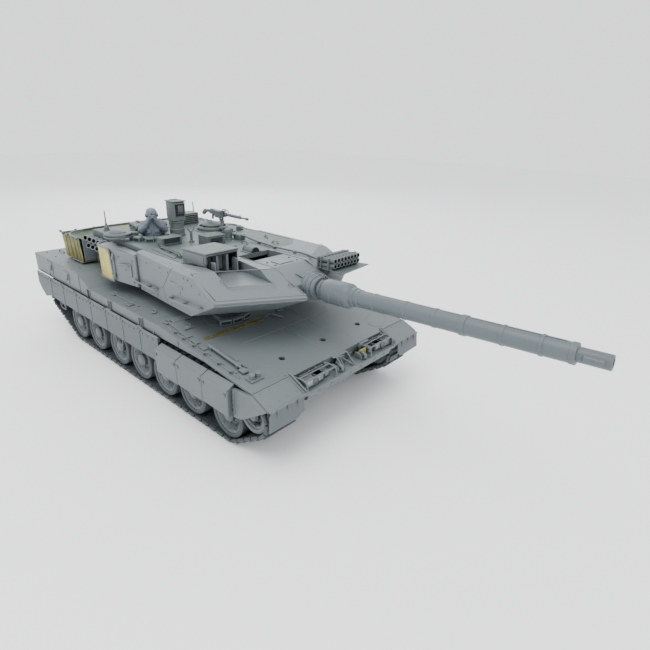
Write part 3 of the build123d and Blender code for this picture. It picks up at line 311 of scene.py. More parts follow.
def makePlastic(name, look):
    made = bpy.data.materials.new(name)
    made.use_nodes = True
    tree = made.node_tree
    shader = tree.nodes["Principled BSDF"]
    # painted top light on upward faces over the cloudy tone
    toneAndTopLight = placeGroup(tree, toneAndTopLightGroup, {
        "Color": (*look["color"], 1.0), "Flow Color": (*look["flow"], 1.0), "Top Light And Tint Color": (*look["top"], 1.0),
        "Top Light And Tint Amount": look["topLightAndTintAmount"], "Amount": look["flowAmount"],
    })
    # painted edge highlight on corners and painted shade in creases
    highlightedAndShaded = placeGroup(tree, edgeHighlightAndCreaseShadeGroup, {
        "Color": toneAndTopLight["Color"], "Edge Highlight Color": (*look["edgeHighlight"], 1.0), "Crease Shade Color": (*look["crease"], 1.0),
        "Edge Highlight": look["edgeHighlightAmount"], "Crease Shade": look["creaseShadeAmount"],
    })
    grain = placeGroup(tree, grainGroup, {"Depth": look["grain"], "Roughness": look["roughness"]})
    relief = addNode(tree, "ShaderNodeBump", {"Height": grain["Height"], "Strength": 0.35, "Distance": 0.0004})
    tree.links.new(highlightedAndShaded["Color"], shader.inputs["Base Color"])
    tree.links.new(grain["Roughness"], shader.inputs["Roughness"])
    tree.links.new(relief.outputs[0], shader.inputs["Normal"])
    shader.inputs["Specular IOR Level"].default_value = 0.4
    return made


def makeMetal(name, color, stain, roughness, metallic=1.0):
    # Etched or turned metal: fine brushing and duller, darker random stains, with painted shade in its creases and
    # a painted highlight on its edges
    made = bpy.data.materials.new(name)
    made.use_nodes = True
    tree = made.node_tree
    shader = tree.nodes["Principled BSDF"]
    where = addNode(tree, "ShaderNodeTexCoord").outputs["Object"]
    spots = addNode(tree, "ShaderNodeTexNoise", {"Vector": where, "Scale": 95.0, "Detail": 6.0, "Distortion": 0.4})
    share = spread(tree, spots.outputs[0], 0.36, 0.66, 0.0, 0.75)
    stained = mixColor(tree, share, (*color, 1.0), (*stain, 1.0))
    # painted edge highlight on corners and painted shade in creases
    highlightedAndShaded = placeGroup(tree, edgeHighlightAndCreaseShadeGroup, {
        "Color": stained, "Edge Highlight Color": (*[min(1.0, 1.5 * c) for c in color], 1.0),
        "Crease Shade Color": (*[0.3 * c for c in stain], 1.0), "Edge Highlight": 0.5, "Crease Shade": 0.7,
    })
    brushed = addNode(tree, "ShaderNodeMapping", {"Vector": where, "Scale": (60.0, 60.0, 2600.0)})
    lines = addNode(tree, "ShaderNodeTexNoise", {"Vector": brushed.outputs[0], "Scale": 1.0, "Detail": 2.0})
    dull = spread(tree, spots.outputs[0], 0.3, 0.7, roughness - 0.08, roughness + 0.18)
    relief = addNode(tree, "ShaderNodeBump", {"Height": lines.outputs[0], "Strength": 0.25, "Distance": 0.0002})
    tree.links.new(highlightedAndShaded["Color"], shader.inputs["Base Color"])
    tree.links.new(dull, shader.inputs["Roughness"])
    tree.links.new(relief.outputs[0], shader.inputs["Normal"])
    shader.inputs["Metallic"].default_value = metallic
    return made


def makeCloth(name, thread, gap, scale, depth):
    made = bpy.data.materials.new(name)
    made.use_nodes = True
    tree = made.node_tree
    shader = tree.nodes["Principled BSDF"]
    # painted shade in the gaps between threads
    weave = placeGroup(tree, weaveGroup, {"Scale": scale, "Thread Color": (*thread, 1.0), "Gap Shade Color": (*gap, 1.0)})
    # painted top light: upward faces take the lighter thread colour
    toneAndTopLight = placeGroup(tree, toneAndTopLightGroup, {
        "Color": weave["Color"], "Flow Color": (*gap, 1.0), "Top Light And Tint Color": (*thread, 1.0), "Top Light And Tint Amount": 0.25,
        "Amount": 0.5, "Scale": 60.0,
    })
    # painted edge highlight on corners and painted shade in creases
    highlightedAndShaded = placeGroup(tree, edgeHighlightAndCreaseShadeGroup, {
        "Color": toneAndTopLight["Color"], "Edge Highlight Color": (*[min(1.0, 1.4 * c) for c in thread], 1.0),
        "Crease Shade Color": (*[0.3 * c for c in gap], 1.0), "Edge Highlight": 0.3, "Crease Shade": 0.8,
    })
    relief = addNode(tree, "ShaderNodeBump", {"Height": weave["Height"], "Strength": depth, "Distance": 0.0003})
    tree.links.new(highlightedAndShaded["Color"], shader.inputs["Base Color"])
    tree.links.new(relief.outputs[0], shader.inputs["Normal"])
    shader.inputs["Roughness"].default_value = 0.85
    shader.inputs["Sheen Weight"].default_value = 0.2
    return made


def makeGlass(name, color, roughness):
    # Dark coated window: a tinted gloss face with faint smears
    made = bpy.data.materials.new(name)
    made.use_nodes = True
    tree = made.node_tree
    shader = tree.nodes["Principled BSDF"]
    where = addNode(tree, "ShaderNodeTexCoord").outputs["Object"]
    smear = addNode(tree, "ShaderNodeTexNoise", {"Vector": where, "Scale": 130.0, "Detail": 3.0})
    tree.links.new(
        mixColor(tree, spread(tree, smear.outputs[0], 0.35, 0.7), (*color, 1.0), (*[0.5 * c for c in color], 1.0)),
        shader.inputs["Base Color"],
    )
    tree.links.new(spread(tree, smear.outputs[0], 0.3, 0.7, roughness, roughness + 0.12),
        shader.inputs["Roughness"])
    shader.inputs["Coat Weight"].default_value = 0.6
    return made


finish = {name: makePlastic(name, look) for name, look in looks.items()}
finish["brass"] = makeMetal("brass", (0.5, 0.44, 0.1), (0.34, 0.31, 0.09), 0.42, 0.5)
finish["dullBrass"] = makeMetal("dullBrass", (0.19, 0.18, 0.055), (0.1, 0.1, 0.035), 0.5, 0.5)
finish["screwSteel"] = makeMetal("screwSteel", (0.45, 0.46, 0.47), (0.25, 0.26, 0.27), 0.36)
finish["motorSteel"] = makeMetal("motorSteel", (0.38, 0.38, 0.39), (0.2, 0.2, 0.21), 0.4)
finish["canvas"] = makeCloth("canvas", (0.235, 0.285, 0.285), (0.13, 0.165, 0.16), 5200.0, 0.6)
finish["greenMesh"] = makeCloth("greenMesh", (0.05, 0.095, 0.045), (0.018, 0.034, 0.018), 3000.0, 0.8)
finish["sightGlass"] = makeGlass("sightGlass", (0.016, 0.022, 0.026), 0.08)
finish["lampGlass"] = makeGlass("lampGlass", (0.26, 0.31, 0.33), 0.14)
print("finishes ready:", len(finish))


# Mesh kit. Points are in millimetres until a piece is built.
def place(at, turn=(0.0, 0.0, 0.0)):
    return Matrix.Translation(at) @ Euler([radians(a) for a in turn]).to_matrix().to_4x4()


def along(at, direction, spin=0.0):
    # Local Z points along the direction
    facing = Vector(direction).to_track_quat("Z", "Y").to_matrix().to_4x4()
    return Matrix.Translation(at) @ facing @ Matrix.Rotation(radians(spin), 4, "Z")


class Shape:
    def __init__(self):
        self.points, self.faces, self.tags = [], [], []

    def take(self, mesh, matrix, tag=0):
        mesh.verts.index_update()
        start = len(self.points)
        self.points += [matrix @ v.co for v in mesh.verts]
        self.faces += [[start + v.index for v in f.verts] for f in mesh.faces]
        self.tags += [tag] * len(mesh.faces)
        mesh.free()

    def takeGrid(self, rows, matrix, tag=0, closeRows=False, closeColumns=False):
        # Rows of points joined into quads
        start, wide = len(self.points), len(rows[0])
        self.points += [matrix @ Vector(p) for row in rows for p in row]
        for i in range(len(rows) if closeRows else len(rows) - 1):
            for j in range(wide if closeColumns else wide - 1):
                a, b = i * wide + j, i * wide + (j + 1) % wide
                c, d = (i + 1) % len(rows) * wide + (j + 1) % wide, (i + 1) % len(rows) * wide + j
                self.faces.append([start + a, start + b, start + c, start + d])
                self.tags.append(tag)

    def block(self, at, size, edge=0.25, turn=(0.0, 0.0, 0.0), tag=0, matrix=None):
        mesh = bmesh.new()
        bmesh.ops.create_cube(mesh, size=1.0)
        bmesh.ops.scale(mesh, vec=size, verts=mesh.verts)
        if edge:
            bmesh.ops.bevel(
                mesh, geom=mesh.edges[:], offset=min(edge, 0.4 * min(size)), segments=1, affect="EDGES",
                profile=0.5, clamp_overlap=True,
            )
        spot = place(at, turn)
        self.take(mesh, matrix @ spot if matrix else spot, tag)

    def prism(self, outline, matrix, depth, edge=0.25, tag=0):
        # Outline in the matrix's XY, standing along its Z
        mesh = bmesh.new()
        low = [mesh.verts.new((x, y, 0.0)) for x, y in outline]
        high = [mesh.verts.new((x, y, depth)) for x, y in outline]
        mesh.faces.new(low[::-1])
        mesh.faces.new(high)
        for i in range(len(outline)):
            j = (i + 1) % len(outline)
            mesh.faces.new((low[i], low[j], high[j], high[i]))
        bmesh.ops.recalc_face_normals(mesh, faces=mesh.faces)
        if edge:
            bmesh.ops.bevel(
                mesh, geom=mesh.edges[:], offset=edge, segments=1, affect="EDGES", profile=0.5, clamp_overlap=True,
            )
        self.take(mesh, matrix, tag)

    def turned(self, profile, matrix, steps=24, tag=0):
        # Profile of (radius, height) pairs turned about the matrix's Z
        rows = []
        for radius, height in profile:
            radius = max(radius, 0.001)
            rows.append([
                (radius * cos(2 * pi * i / steps), radius * sin(2 * pi * i / steps), height)
                for i in range(steps)
            ])
        self.takeGrid(rows, matrix, tag, closeColumns=True)

    def bolt(self, at, direction, radius=0.9, height=0.7, sides=6, spin=0.0, tag=0):
        profile = [(0, height), (0.75 * radius, height), (radius, 0.75 * height), (radius, -0.3)]
        self.turned(profile, along(at, direction, spin), sides, tag)

    def rivet(self, at, direction, radius=0.6, tag=0):
        dome = [(0, 0.55), (0.45, 0.48), (0.8, 0.28), (1.0, 0.0), (1.0, -0.4)]
        self.turned([(r * radius, h * radius) for r, h in dome], along(at, direction), 10, tag)

    def pipe(self, points, radius, sides=10, rounds=3, tag=0, closed=False):
        # A bent rod: corners are softened, then a ring is carried along
        line = [Vector(p) for p in points]
        for _ in range(rounds):
            softer = []
            for i in range(len(line) if closed else len(line) - 1):
                a, b = line[i], line[(i + 1) % len(line)]
                softer += [a.lerp(b, 0.25), a.lerp(b, 0.75)]
            line = softer if closed else [line[0]] + softer[1:-1] + [line[-1]]
        rows, across = [], None
        for i, spot in enumerate(line):
            ahead = line[(i + 1) % len(line)] if closed or i < len(line) - 1 else spot
            behind = line[i - 1] if closed or i else spot
            run = (ahead - behind).normalized()
            if across is None:
                across = run.orthogonal().normalized()
            across = (across - run * across.dot(run)).normalized()
            beside = run.cross(across)
            rows.append([
                spot + radius * (cos(a) * across + sin(a) * beside)
                for a in (2 * pi * k / sides for k in range(sides))
            ])
        self.takeGrid(rows, unmoved, tag, closeRows=closed, closeColumns=True)
        if not closed:
            first = len(self.points) - len(rows) * sides
            self.faces += [list(range(first, first + sides))[::-1],
                list(range(len(self.points) - sides, len(self.points)))]
            self.tags += [tag, tag]

    def seam(self, points, width=0.8, height=0.35, tag=0):
        # A weld bead: a low lumpy line laid over a surface
        for start, end in zip(points[:-1], points[1:]):
            start, end = Vector(start), Vector(end)
            count = max(2, int((end - start).length / 1.1))
            rows = []
            for i in range(count + 1):
                swell = 1.0 + 0.22 * sin(2.4 * i) + chance.uniform(-0.08, 0.08)
                spot = start.lerp(end, i / count)
                run = (end - start).normalized()
                beside = run.cross(Vector((0, 0, 1)))
                beside = beside.normalized() if beside.length > 0.2 else Vector((0, 1, 0))
                up = beside.cross(run).normalized()
                rows.append([
                    spot + beside * 0.5 * width * swell * cos(a) + up * height * swell * sin(a)
                    for a in (pi * k / 4 - 0.2 for k in range(6))
                ])
            self.takeGrid(rows, unmoved, tag)

    def mirrored(self):
        # Adds the same shape on the other side of the tank
        start, count = len(self.points), len(self.faces)
        self.points += [Vector((p.x, -p.y, p.z)) for p in self.points]
        self.faces += [[start + i for i in reversed(f)] for f in self.faces[:count]]
        self.tags += self.tags[:count]
        return self

    def build(self, name, body, materials, slot, smoothAngle=32.0, replaces=()):
        mesh = bpy.data.meshes.new(name)
        mesh.from_pydata([0.001 * p for p in self.points], [], self.faces)
        for material in materials:
            mesh.materials.append(finish[material])
        mesh.polygons.foreach_set("material_index", self.tags)
        mesh.update()
        tidy = bmesh.new()
        tidy.from_mesh(mesh)
        bmesh.ops.remove_doubles(tidy, verts=tidy.verts, dist=3e-6)
        bmesh.ops.dissolve_degenerate(tidy, edges=tidy.edges, dist=1e-7)
        bmesh.ops.recalc_face_normals(tidy, faces=tidy.faces)
        tidy.to_mesh(mesh)
        tidy.free()
        mesh.shade_smooth()
        mesh.set_sharp_from_angle(angle=radians(smoothAngle))
        made = bpy.data.objects.new(name, mesh)
        bpy.context.scene.collection.objects.link(made)
        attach(made, body)
        if replaces:
            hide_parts(*replaces)
        return made


def boxOf(node):
    low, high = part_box(node)
    return low * 1000, high * 1000


# Carried-over frame parts get their finishes
nodeFinish = {
    "lower_hull": "hullPlastic", "upper_hull": "hullPlastic", "engine_grilles": "roofPlastic",
    "side_skirt_right": "skirtRubber", "side_skirt_left": "skirtRubber",
    "heavy_skirt_right": "hullPlastic", "heavy_skirt_left": "hullPlastic", "suspension_arms": "wheelPlastic",
    "battery_pack": "batteryWrap", "drive_gearboxes": "motorSteel", "control_board": "boardGreen",
    "traverse_motor": "motorSteel", "traverse_roller": "tyrePlastic", "power_switch": "recessShadeAndBlackPlastic",
    "hull_screws": "screwSteel", "headlights": "hullPlastic", "front_mudflaps": "skirtRubber",
    "deck_fittings": "turretPlastic", "glacis_strip": "dullBrass", "driver_hatch": "hullPlastic",
    "turret_shell": "roofPlastic", "turret_armour_right": "turretPlastic", "turret_armour_left": "turretPlastic",
    "gunner_sight": "turretPlastic", "side_bins": "turretPlastic", "commander_hatch": "turretPlastic",
    "loader_hatch": "turretPlastic", "weapon_ring": "turretPlastic", "gun_mantlet": "gunPlastic",
    "roof_fittings": "roofPlastic", "launcher_bank": "roofPlastic", "antennas": "gunPlastic",
    "gun_barrel": "gunPlastic", "panoramic_sight": "roofPlastic", "smoke_launchers": "turretPlastic",
}
for nodeName, finishName in nodeFinish.items():
    cadMesh = frame["nodes"][nodeName].data
    cadMesh.materials.clear()
    cadMesh.materials.append(finish[finishName])
sides = (("right", -1), ("left", 1))


# Tracks: links laid round the wheels, each with two pads, two pins, end connectors and a guide horn
trackLook = {"linkPitch": 11.5, "coreHeight": 3.2, "padHeight": 1.8, "gap": 0.3, "hornHeight": 6.0,
    "centre": 87.05, "width": 39.7}


sprocketRadius = 18.5
axles = {joint["child"]: joint["pos_m"] for joint in frame["record"]["behaviour"]["joints"] if "pos_m" in joint}


def wheelCentre(node):
    # An axle's place; a toothed wheel's box isn't centred on it
    body = node.replace("road_wheel", "wheel") if "road" in node else node.replace("_", "_wheel_", 1)
    return 1000 * axles[body][0], 1000 * axles[body][2]


def wheelCircle(node):
    x, z = wheelCentre(node)
    low, high = boxOf(node)
    radius = sprocketRadius if node.startswith("sprocket") else (high.z - low.z) / 2
    return x, z, radius + trackLook["gap"]


def beltFrames(circles, lift, pitch):
    # Stations round a belt wrapped on circles, as point and outward angle
    angles = []
    for (x0, z0, r0), (x1, z1, r1) in zip(circles, circles[1:] + circles[:1]):
        reach = math.hypot(x1 - x0, z1 - z0)
        angles.append(math.atan2(z1 - z0, x1 - x0) - math.acos((r0 - r1) / reach))
    spans = []
    for i, angle in enumerate(angles):
        x0, z0, r0 = circles[i]
        x1, z1, r1 = circles[(i + 1) % len(circles)]
        start = (x0 + (r0 + lift) * cos(angle), z0 + (r0 + lift) * sin(angle))
        end = (x1 + (r1 + lift) * cos(angle), z1 + (r1 + lift) * sin(angle))
        spans.append((math.dist(start, end), start, end, angle, 0.0, None))
        bend = (angles[(i + 1) % len(angles)] - angle) % (2 * pi)
        spans.append(((r1 + lift) * bend, end, end, angle, bend, (x1, z1, r1 + lift)))
    total = sum(span[0] for span in spans)
    count = round(total / pitch)
    stations = []
    for i in range(count):
        left = i * total / count
        for length, start, end, angle, bend, wheel in spans:
            if left <= length:
                break
            left -= length
        share = left / length
        if bend:
            turn = angle + bend * share
            stations.append((wheel[0] + wheel[2] * cos(turn), wheel[1] + wheel[2] * sin(turn), turn))
        else:
            stations.append((start[0] + (end[0] - start[0]) * share, start[1] + (end[1] - start[1]) * share, angle))
    return stations, total / count


def makeLink(pitch, look):
    # One link in its own frame: X along the track, Y across it, Z outward
    link = Shape()
    core, half = look["coreHeight"], look["width"] / 2
    for side in (1, -1):
        link.block((0, side * half / 2, -core / 2), (pitch * 0.74, half - 3.4, core - 0.2), 0.5)
        padHeight = look["padHeight"]
        outline = [(-4.1, 1.6), (4.1, 1.6), (4.1, half - 4.0), (2.2, half - 2.4), (-2.2, half - 2.4),
            (-4.1, half - 4.0)]
        spin = Matrix.Translation((0, 0, -0.1)) @ Matrix.Diagonal((1, side, 1, 1))
        link.prism(outline, spin, padHeight + 0.1, 0.45, tag=1)
        link.block((0, side * half / 2, padHeight - 0.12), (1.1, half - 6.5, 0.5), 0.1, tag=0)
        link.block((0, side * (half - 1.3), -core / 2), (pitch * 0.82, 2.6, core), 0.7)
        link.bolt((-2.6, side * half, -core / 2), (0, side, 0), 0.9, 0.5)
        link.bolt((2.6, side * half, -core / 2), (0, side, 0), 0.9, 0.5)
    for x in (-pitch * 0.5 + 0.6, pitch * 0.5 - 0.6):
        rod = Matrix.Translation((x, -half + 2, -core / 2)) @ Matrix.Rotation(-pi / 2, 4, "X")
        link.turned([(0, 0), (1.1, 0), (1.1, look["width"] - 4), (0, look["width"] - 4)], rod, 8)
    link.block((0, 0, -core / 2), (pitch * 0.6, 3.0, core), 0.5)
    horn = [(-2.4, 0.0), (2.4, 0.0), (1.1, look["hornHeight"]), (-1.1, look["hornHeight"])]
    lean = Matrix.Translation((0, 1.6, -core)) @ Matrix.Rotation(pi / 2, 4, "X") @ Matrix.Diagonal((1, -1, 1, 1))
    link.prism(horn, lean, 3.2, 0.5)
    return link


def makeTrack(sideName, side):
    circles = [wheelCircle(node + "_" + sideName if "wheel" not in node else node) for node in (
        "road_wheel_%s_7" % sideName, "road_wheel_%s_1" % sideName, "idler", "sprocket",
    )]
    look = trackLook
    stations, pitch = beltFrames(circles, look["coreHeight"], look["linkPitch"])
    link = makeLink(pitch, look)
    track = Shape()
    for x, z, angle in stations:
        outward = Vector((cos(angle), 0, sin(angle)))
        run = Vector((-sin(angle), 0, cos(angle)))
        across = outward.cross(run)
        spot = Matrix((
            (run.x, across.x, outward.x, x), (run.y, across.y, outward.y, side * look["centre"]),
            (run.z, across.z, outward.z, z), (0, 0, 0, 1),
        ))
        start = len(track.points)
        for p in link.points:
            q = spot @ p
            track.points.append(Vector((q.x, q.y, max(q.z, 0.0))))
        track.faces += [[start + i for i in face] for face in link.faces]
        track.tags += link.tags
    track.build("trackLinks" + sideName.title(), "hull", ["trackPlastic", "tyrePlastic"], "track_plastic",
                replaces=["track_" + sideName])


for sideName, side in sides:
    makeTrack(sideName, side)
print("tracks ready")


# Wheels: a tyre with rounded shoulders on a dished disc, with rim bolts, spokes pressed in and a hub cap
wheelLook = {"rimBolts": 10, "hubBolts": 8, "tyreWall": 4.6, "outer": 104.4, "steps": 56}


def makeWheel(node, body, side, look, capRadius=6.6, tyreTag=1):
    low, high = boxOf(node)
    x, z, radius = (low.x + high.x) / 2, (low.z + high.z) / 2, (high.z - low.z) / 2
    rim = radius - look["tyreWall"]
    spot = Matrix.Translation((x, 0, z)) @ Matrix.Rotation(-side * pi / 2, 4, "X")
    wheel = Shape()
    steps = look["steps"]
    # outer disc, from the hub cap to the rim, then both tyres and the inner disc
    wheel.turned([
        (0, 105.0), (3.6, 105.0), (4.4, 104.6), (capRadius - 0.6, 103.6), (capRadius, 102.8), (capRadius, 99.4),
        (9.6, 98.4), (10.6, 97.4), (11.4, 97.2), (rim - 3.4, 100.2), (rim - 2.2, 102.4), (rim - 1.0, 103.2),
        (rim, 103.2), (rim, 92.6),
    ], spot, steps)
    for inner, outer in ((92.2, 104.3), (69.8, 81.9)):
        wheel.turned([
            (rim, inner + 0.5), (rim + 0.6, inner), (radius - 1.2, inner), (radius - 0.3, inner + 0.5),
            (radius, inner + 1.4), (radius, outer - 1.4), (radius - 0.3, outer - 0.5), (radius - 1.2, outer),
            (rim + 0.8, outer), (rim + 0.2, outer - 0.4), (rim, outer - 0.9), (rim, inner + 0.5),
        ], spot, steps, tyreTag)
    wheel.turned([
        (rim, 92.6), (rim - 1.0, 92.6), (9.0, 94.4), (9.0, 77.2), (rim - 0.4, 77.6), (rim, 82.0), (rim, 69.9),
        (rim - 0.8, 70.0), (rim - 1.2, 75.0), (9.0, 74.6), (9.0, 69.2), (3.3, 69.2),
    ], spot, steps)
    for i in range(look["rimBolts"]):
        turn = 2 * pi * (i + 0.5) / look["rimBolts"]
        reach = rim - 2.0
        wheel.bolt(spot @ Vector((reach * cos(turn), reach * sin(turn), 102.3)), (0, side, 0), 0.95, 0.8)
    for i in range(look["hubBolts"]):
        turn = 2 * pi * i / look["hubBolts"]
        wheel.bolt(spot @ Vector((8.1 * cos(turn), 8.1 * sin(turn), 98.6)), (0, side, 0), 0.75, 0.7)
    # pressed ribs on the dish
    for i in range(look["rimBolts"]):
        turn = 360.0 * i / look["rimBolts"]
        middle = (11.2 + rim - 3.4) / 2
        rib = spot @ Matrix.Rotation(radians(turn), 4, "Z") @ place((middle, 0, 98.9), (0, -14, 0))
        wheel.block((0, 0, 0), (rim - 14.6, 0.9, 1.1), 0.3, matrix=rib)
    wheel.build(node + "_detail", body, ["wheelPlastic", "tyrePlastic"], "wheel_plastic", replaces=[node])


sprocketLook = {"teeth": 11, "ringBolts": 11, "toothRoot": 14.4, "toothTip": 18.4}


def makeSprocket(node, body, side, look):
    x, z = wheelCentre(node)
    spot = Matrix.Translation((x, 0, z)) @ Matrix.Rotation(-side * pi / 2, 4, "X")
    wheel = Shape()
    wheel.turned([
        (0, 105.0), (4.6, 105.0), (5.8, 104.4), (6.4, 103.2), (8.8, 102.8), (10.0, 101.8), (10.0, 100.2),
        (11.4, 100.2), (11.4, 71.0), (9.0, 68.6), (9.0, 67.2), (2.2, 67.2),
    ], spot, 40)
    outline = []
    for i in range(look["teeth"]):
        centre = 2 * pi * i / look["teeth"]
        for share, radius in ((-0.46, 14.6), (-0.36, 14.2), (-0.24, 15.4), (-0.13, 18.0), (-0.06, 18.4),
                              (0.06, 18.4), (0.13, 18.0), (0.24, 15.4), (0.36, 14.2)):
            turn = centre + share * 2 * pi / look["teeth"]
            outline.append((radius * cos(turn), radius * sin(turn)))
    for ring in (70.6, 99.0):
        wheel.prism(outline, spot @ Matrix.Translation((0, 0, ring)), 3.0, 0.35)
    for i in range(look["ringBolts"]):
        turn = 2 * pi * (i + 0.5) / look["ringBolts"]
        wheel.bolt(spot @ Vector((12.6 * cos(turn), 12.6 * sin(turn), 102.0)), (0, side, 0), 0.9, 0.8)
    wheel.build(node + "_detail", body, ["wheelPlastic"], "wheel_plastic", replaces=[node])


for sideName, side in sides:
    for number in range(1, 8):
        makeWheel("road_wheel_%s_%d" % (sideName, number), "wheel_%s_%d" % (sideName, number), side, wheelLook)
    makeWheel("idler_" + sideName, "idler_wheel_" + sideName, side, wheelLook, 5.4, tyreTag=0)
    makeSprocket("sprocket_" + sideName, "sprocket_wheel_" + sideName, side, sprocketLook)
print("wheels ready")


# Hull sides: hinge strip, hinge lugs, slotted brackets, latch plates and seams
deckHalf, heavyFace = 109.4, 117.5
sideLook = {
    "hingeSeams": (-60.0, -97.0, -136.0, -175.0, -214.0, -253.0, -292.0), "lugStep": 9.3,
    "slotSpots": (-127.0, -59.0), "latchSpots": ((-289.0, 89.5), (-238.0, 88.0)),
}


def deckZ(x):
    # Height of the hull's upper edge along its length
    line = ((-341.0, 100.5), (-204.5, 100.5), (-177.6, 87.5), (-24.5, 87.5), (115.0, 70.6), (136.0, 61.0))
    for (x0, z0), (x1, z1) in zip(line[:-1], line[1:]):
        if x <= x1:
            return z0 + (z1 - z0) * (x - x0) / (x1 - x0)
    return line[-1][1]


def makeHullSide(look):
    part = Shape()
    # round bar along the top of the skirts, with lugs hanging under it
    part.pipe([(-336.0, -111.6, 75.4), (-24.0, -111.6, 75.4)], 1.15, 10, 0)
    x = -332.0
    while x < -28.0:
        part.block((x, -112.9, 71.6), (1.5, 0.9, 1.7), 0.3)
        part.rivet((x + 4.2, -112.4, 70.6), (0, -1, 0), 0.42)
        x += look["lugStep"]
    for x in look["hingeSeams"]:
        part.block((x - 2.0, -112.6, 75.2), (3.4, 2.6, 3.6), 0.6)
        part.block((x + 2.6, -112.6, 74.6), (2.2, 2.2, 3.0), 0.5)
        part.bolt((x - 2.0, -113.8, 75.2), (0, -1, 0), 1.0, 0.5)
        part.block((x + 0.6, -112.75, 59.0), (0.9, 0.5, 19.0), 0.2)
    # pairs of upright rails, with a dark strip between them as painted shade in the slot
    for x in look["slotSpots"]:
        for shift in (-3.2, 0.0, 3.2):
            part.block((x + shift, -deckHalf - 0.5, 81.2), (0.9, 1.4, 12.4), 0.25)
        for shift in (-1.6, 1.6):
            part.block((x + shift, -deckHalf - 0.05, 81.2), (2.2, 0.3, 12.2), 0.0, tag=1)
        part.block((x, -deckHalf - 0.7, 87.0), (8.2, 1.2, 1.0), 0.3)
        part.block((x - 1.0, -deckHalf - 1.6, 76.4), (9.0, 2.8, 2.2), 0.5)
    # dark strip as painted shade in the slot between the two rails
    part.block((-180.0, -deckHalf - 0.02, 79.6), (6.4, 0.4, 12.6), 0.1, tag=1)
    for shift in (-3.9, 3.9):
        part.block((-180.0 + shift, -deckHalf - 0.3, 79.8), (1.0, 0.9, 13.0), 0.25)
    # latch plates on the rear sponson wall
    for x, z in look["latchSpots"]:
        part.block((x - 3.0, -deckHalf - 0.25, z), (16.0, 0.7, 15.0), 0.3)
        part.block((x + 2.0, -deckHalf - 1.0, z + 1.5), (3.4, 1.6, 5.4), 0.5)
        part.block((x + 2.0, -deckHalf - 1.8, z - 1.6), (1.4, 1.2, 3.4), 0.3)
        for dx, dz in ((-9.5, 6.0), (-9.5, -6.0), (3.6, 6.0), (3.6, -6.0)):
            part.rivet((x + dx, -deckHalf - 0.5, z + dz), (0, -1, 0), 0.5)
    for x in (-297.5, -204.0, 8.1, 48.1):
        part.block((x, -deckHalf - 0.03, deckZ(x) / 2 + 38.4), (0.7, 0.3, deckZ(x) - 77.5), 0.0, tag=1)
        part.block((x + 0.8, -deckHalf - 0.2, deckZ(x) / 2 + 38.4), (0.8, 0.5, deckZ(x) - 77.5), 0.15)
    part.bolt((-34.4, -deckHalf, 77.6), (0, -1, 0), 1.3, 1.0)
    for x in (-318.0, -262.0, -220.0, -150.0, -95.0, -32.0, 30.0, 66.0):
        part.rivet((x, -deckHalf, 78.5 if x < 40 else 73.5), (0, -1, 0), 0.6)
    # folded edge along the deck and down the glacis, with a narrow gutter
    edge = [(x, -deckHalf + 0.3, deckZ(x) - 0.2) for x in (-340.5, -204.5, -177.6, -24.5, 115.0, 135.6)]
    for start, end in zip(edge[:-1], edge[1:]):
        part.pipe([start, end], 0.55, 8, 0)
    gutter = [(x, -deckHalf + 5.5, deckZ(x) + 0.2) for x in (-24.5, 30.0, 92.0)]
    part.pipe(gutter, 0.7, 8, 1)
    part.mirrored()
    part.build("hullSideHardware", "hull", ["hullPlastic", "recessShadeAndBlackPlastic"], "hull_plastic")


def makeSkirtTrim():
    # Sloped ledges over the heavy blocks, corner bolts in recesses darkened as painted shade, and rivets on the
    # nose plate
    part = Shape()
    edges = (92.0, 54.8, 14.5, -22.5)
    for front, rear in zip(edges[:-1], edges[1:]):
        ledge = [(-heavyFace + 0.2, 67.0), (-deckHalf, 70.8), (-deckHalf, 66.0), (-heavyFace + 0.2, 65.0)]
        turn = Matrix(((0, 0, 1, rear + 0.5), (1, 0, 0, 0), (0, 1, 0, 0), (0, 0, 0, 1)))
        part.prism(ledge, turn, front - rear - 1.0, 0.3)
        for x in (front - 3.2, rear + 3.2):
            # dark ring as painted shade in the bolt recess
            part.turned([(2.0, 0.12), (2.0, -0.2), (1.3, -0.2), (1.3, 0.12)],
                along((x, -heavyFace, 62.0), (0, -1, 0)), 16, 1)
            part.bolt((x, -heavyFace, 62.0), (0, -1, 0), 1.15, 0.75)
        part.block((front - 0.2, -heavyFace + 1.2, 54.0), (0.7, 2.0, 24.0), 0.2)
    for x, z in ((97.0, 62.5), (97.0, 47.0), (108.0, 65.0), (109.0, 50.0), (119.0, 60.5), (127.0, 59.8),
        (101.0, 55.0), (114.5, 55.0)):
        part.rivet((x, -deckHalf - 3.0, z), (0, -1, 0), 0.75)
    for z in (46.0, 50.5, 55.0, 59.5, 64.0):
        part.bolt((93.6, -deckHalf - 3.6, z), (0, -1, 0), 0.7, 0.6)
    part.block((93.6, -deckHalf - 3.2, 55.0), (2.4, 0.6, 24.0), 0.2)
    part.mirrored()
    part.build("skirtTrim", "hull", ["hullPlastic", "recessShadeAndBlackPlastic"], "hull_plastic")


makeHullSide(sideLook)
makeSkirtTrim()
print("hull sides ready")


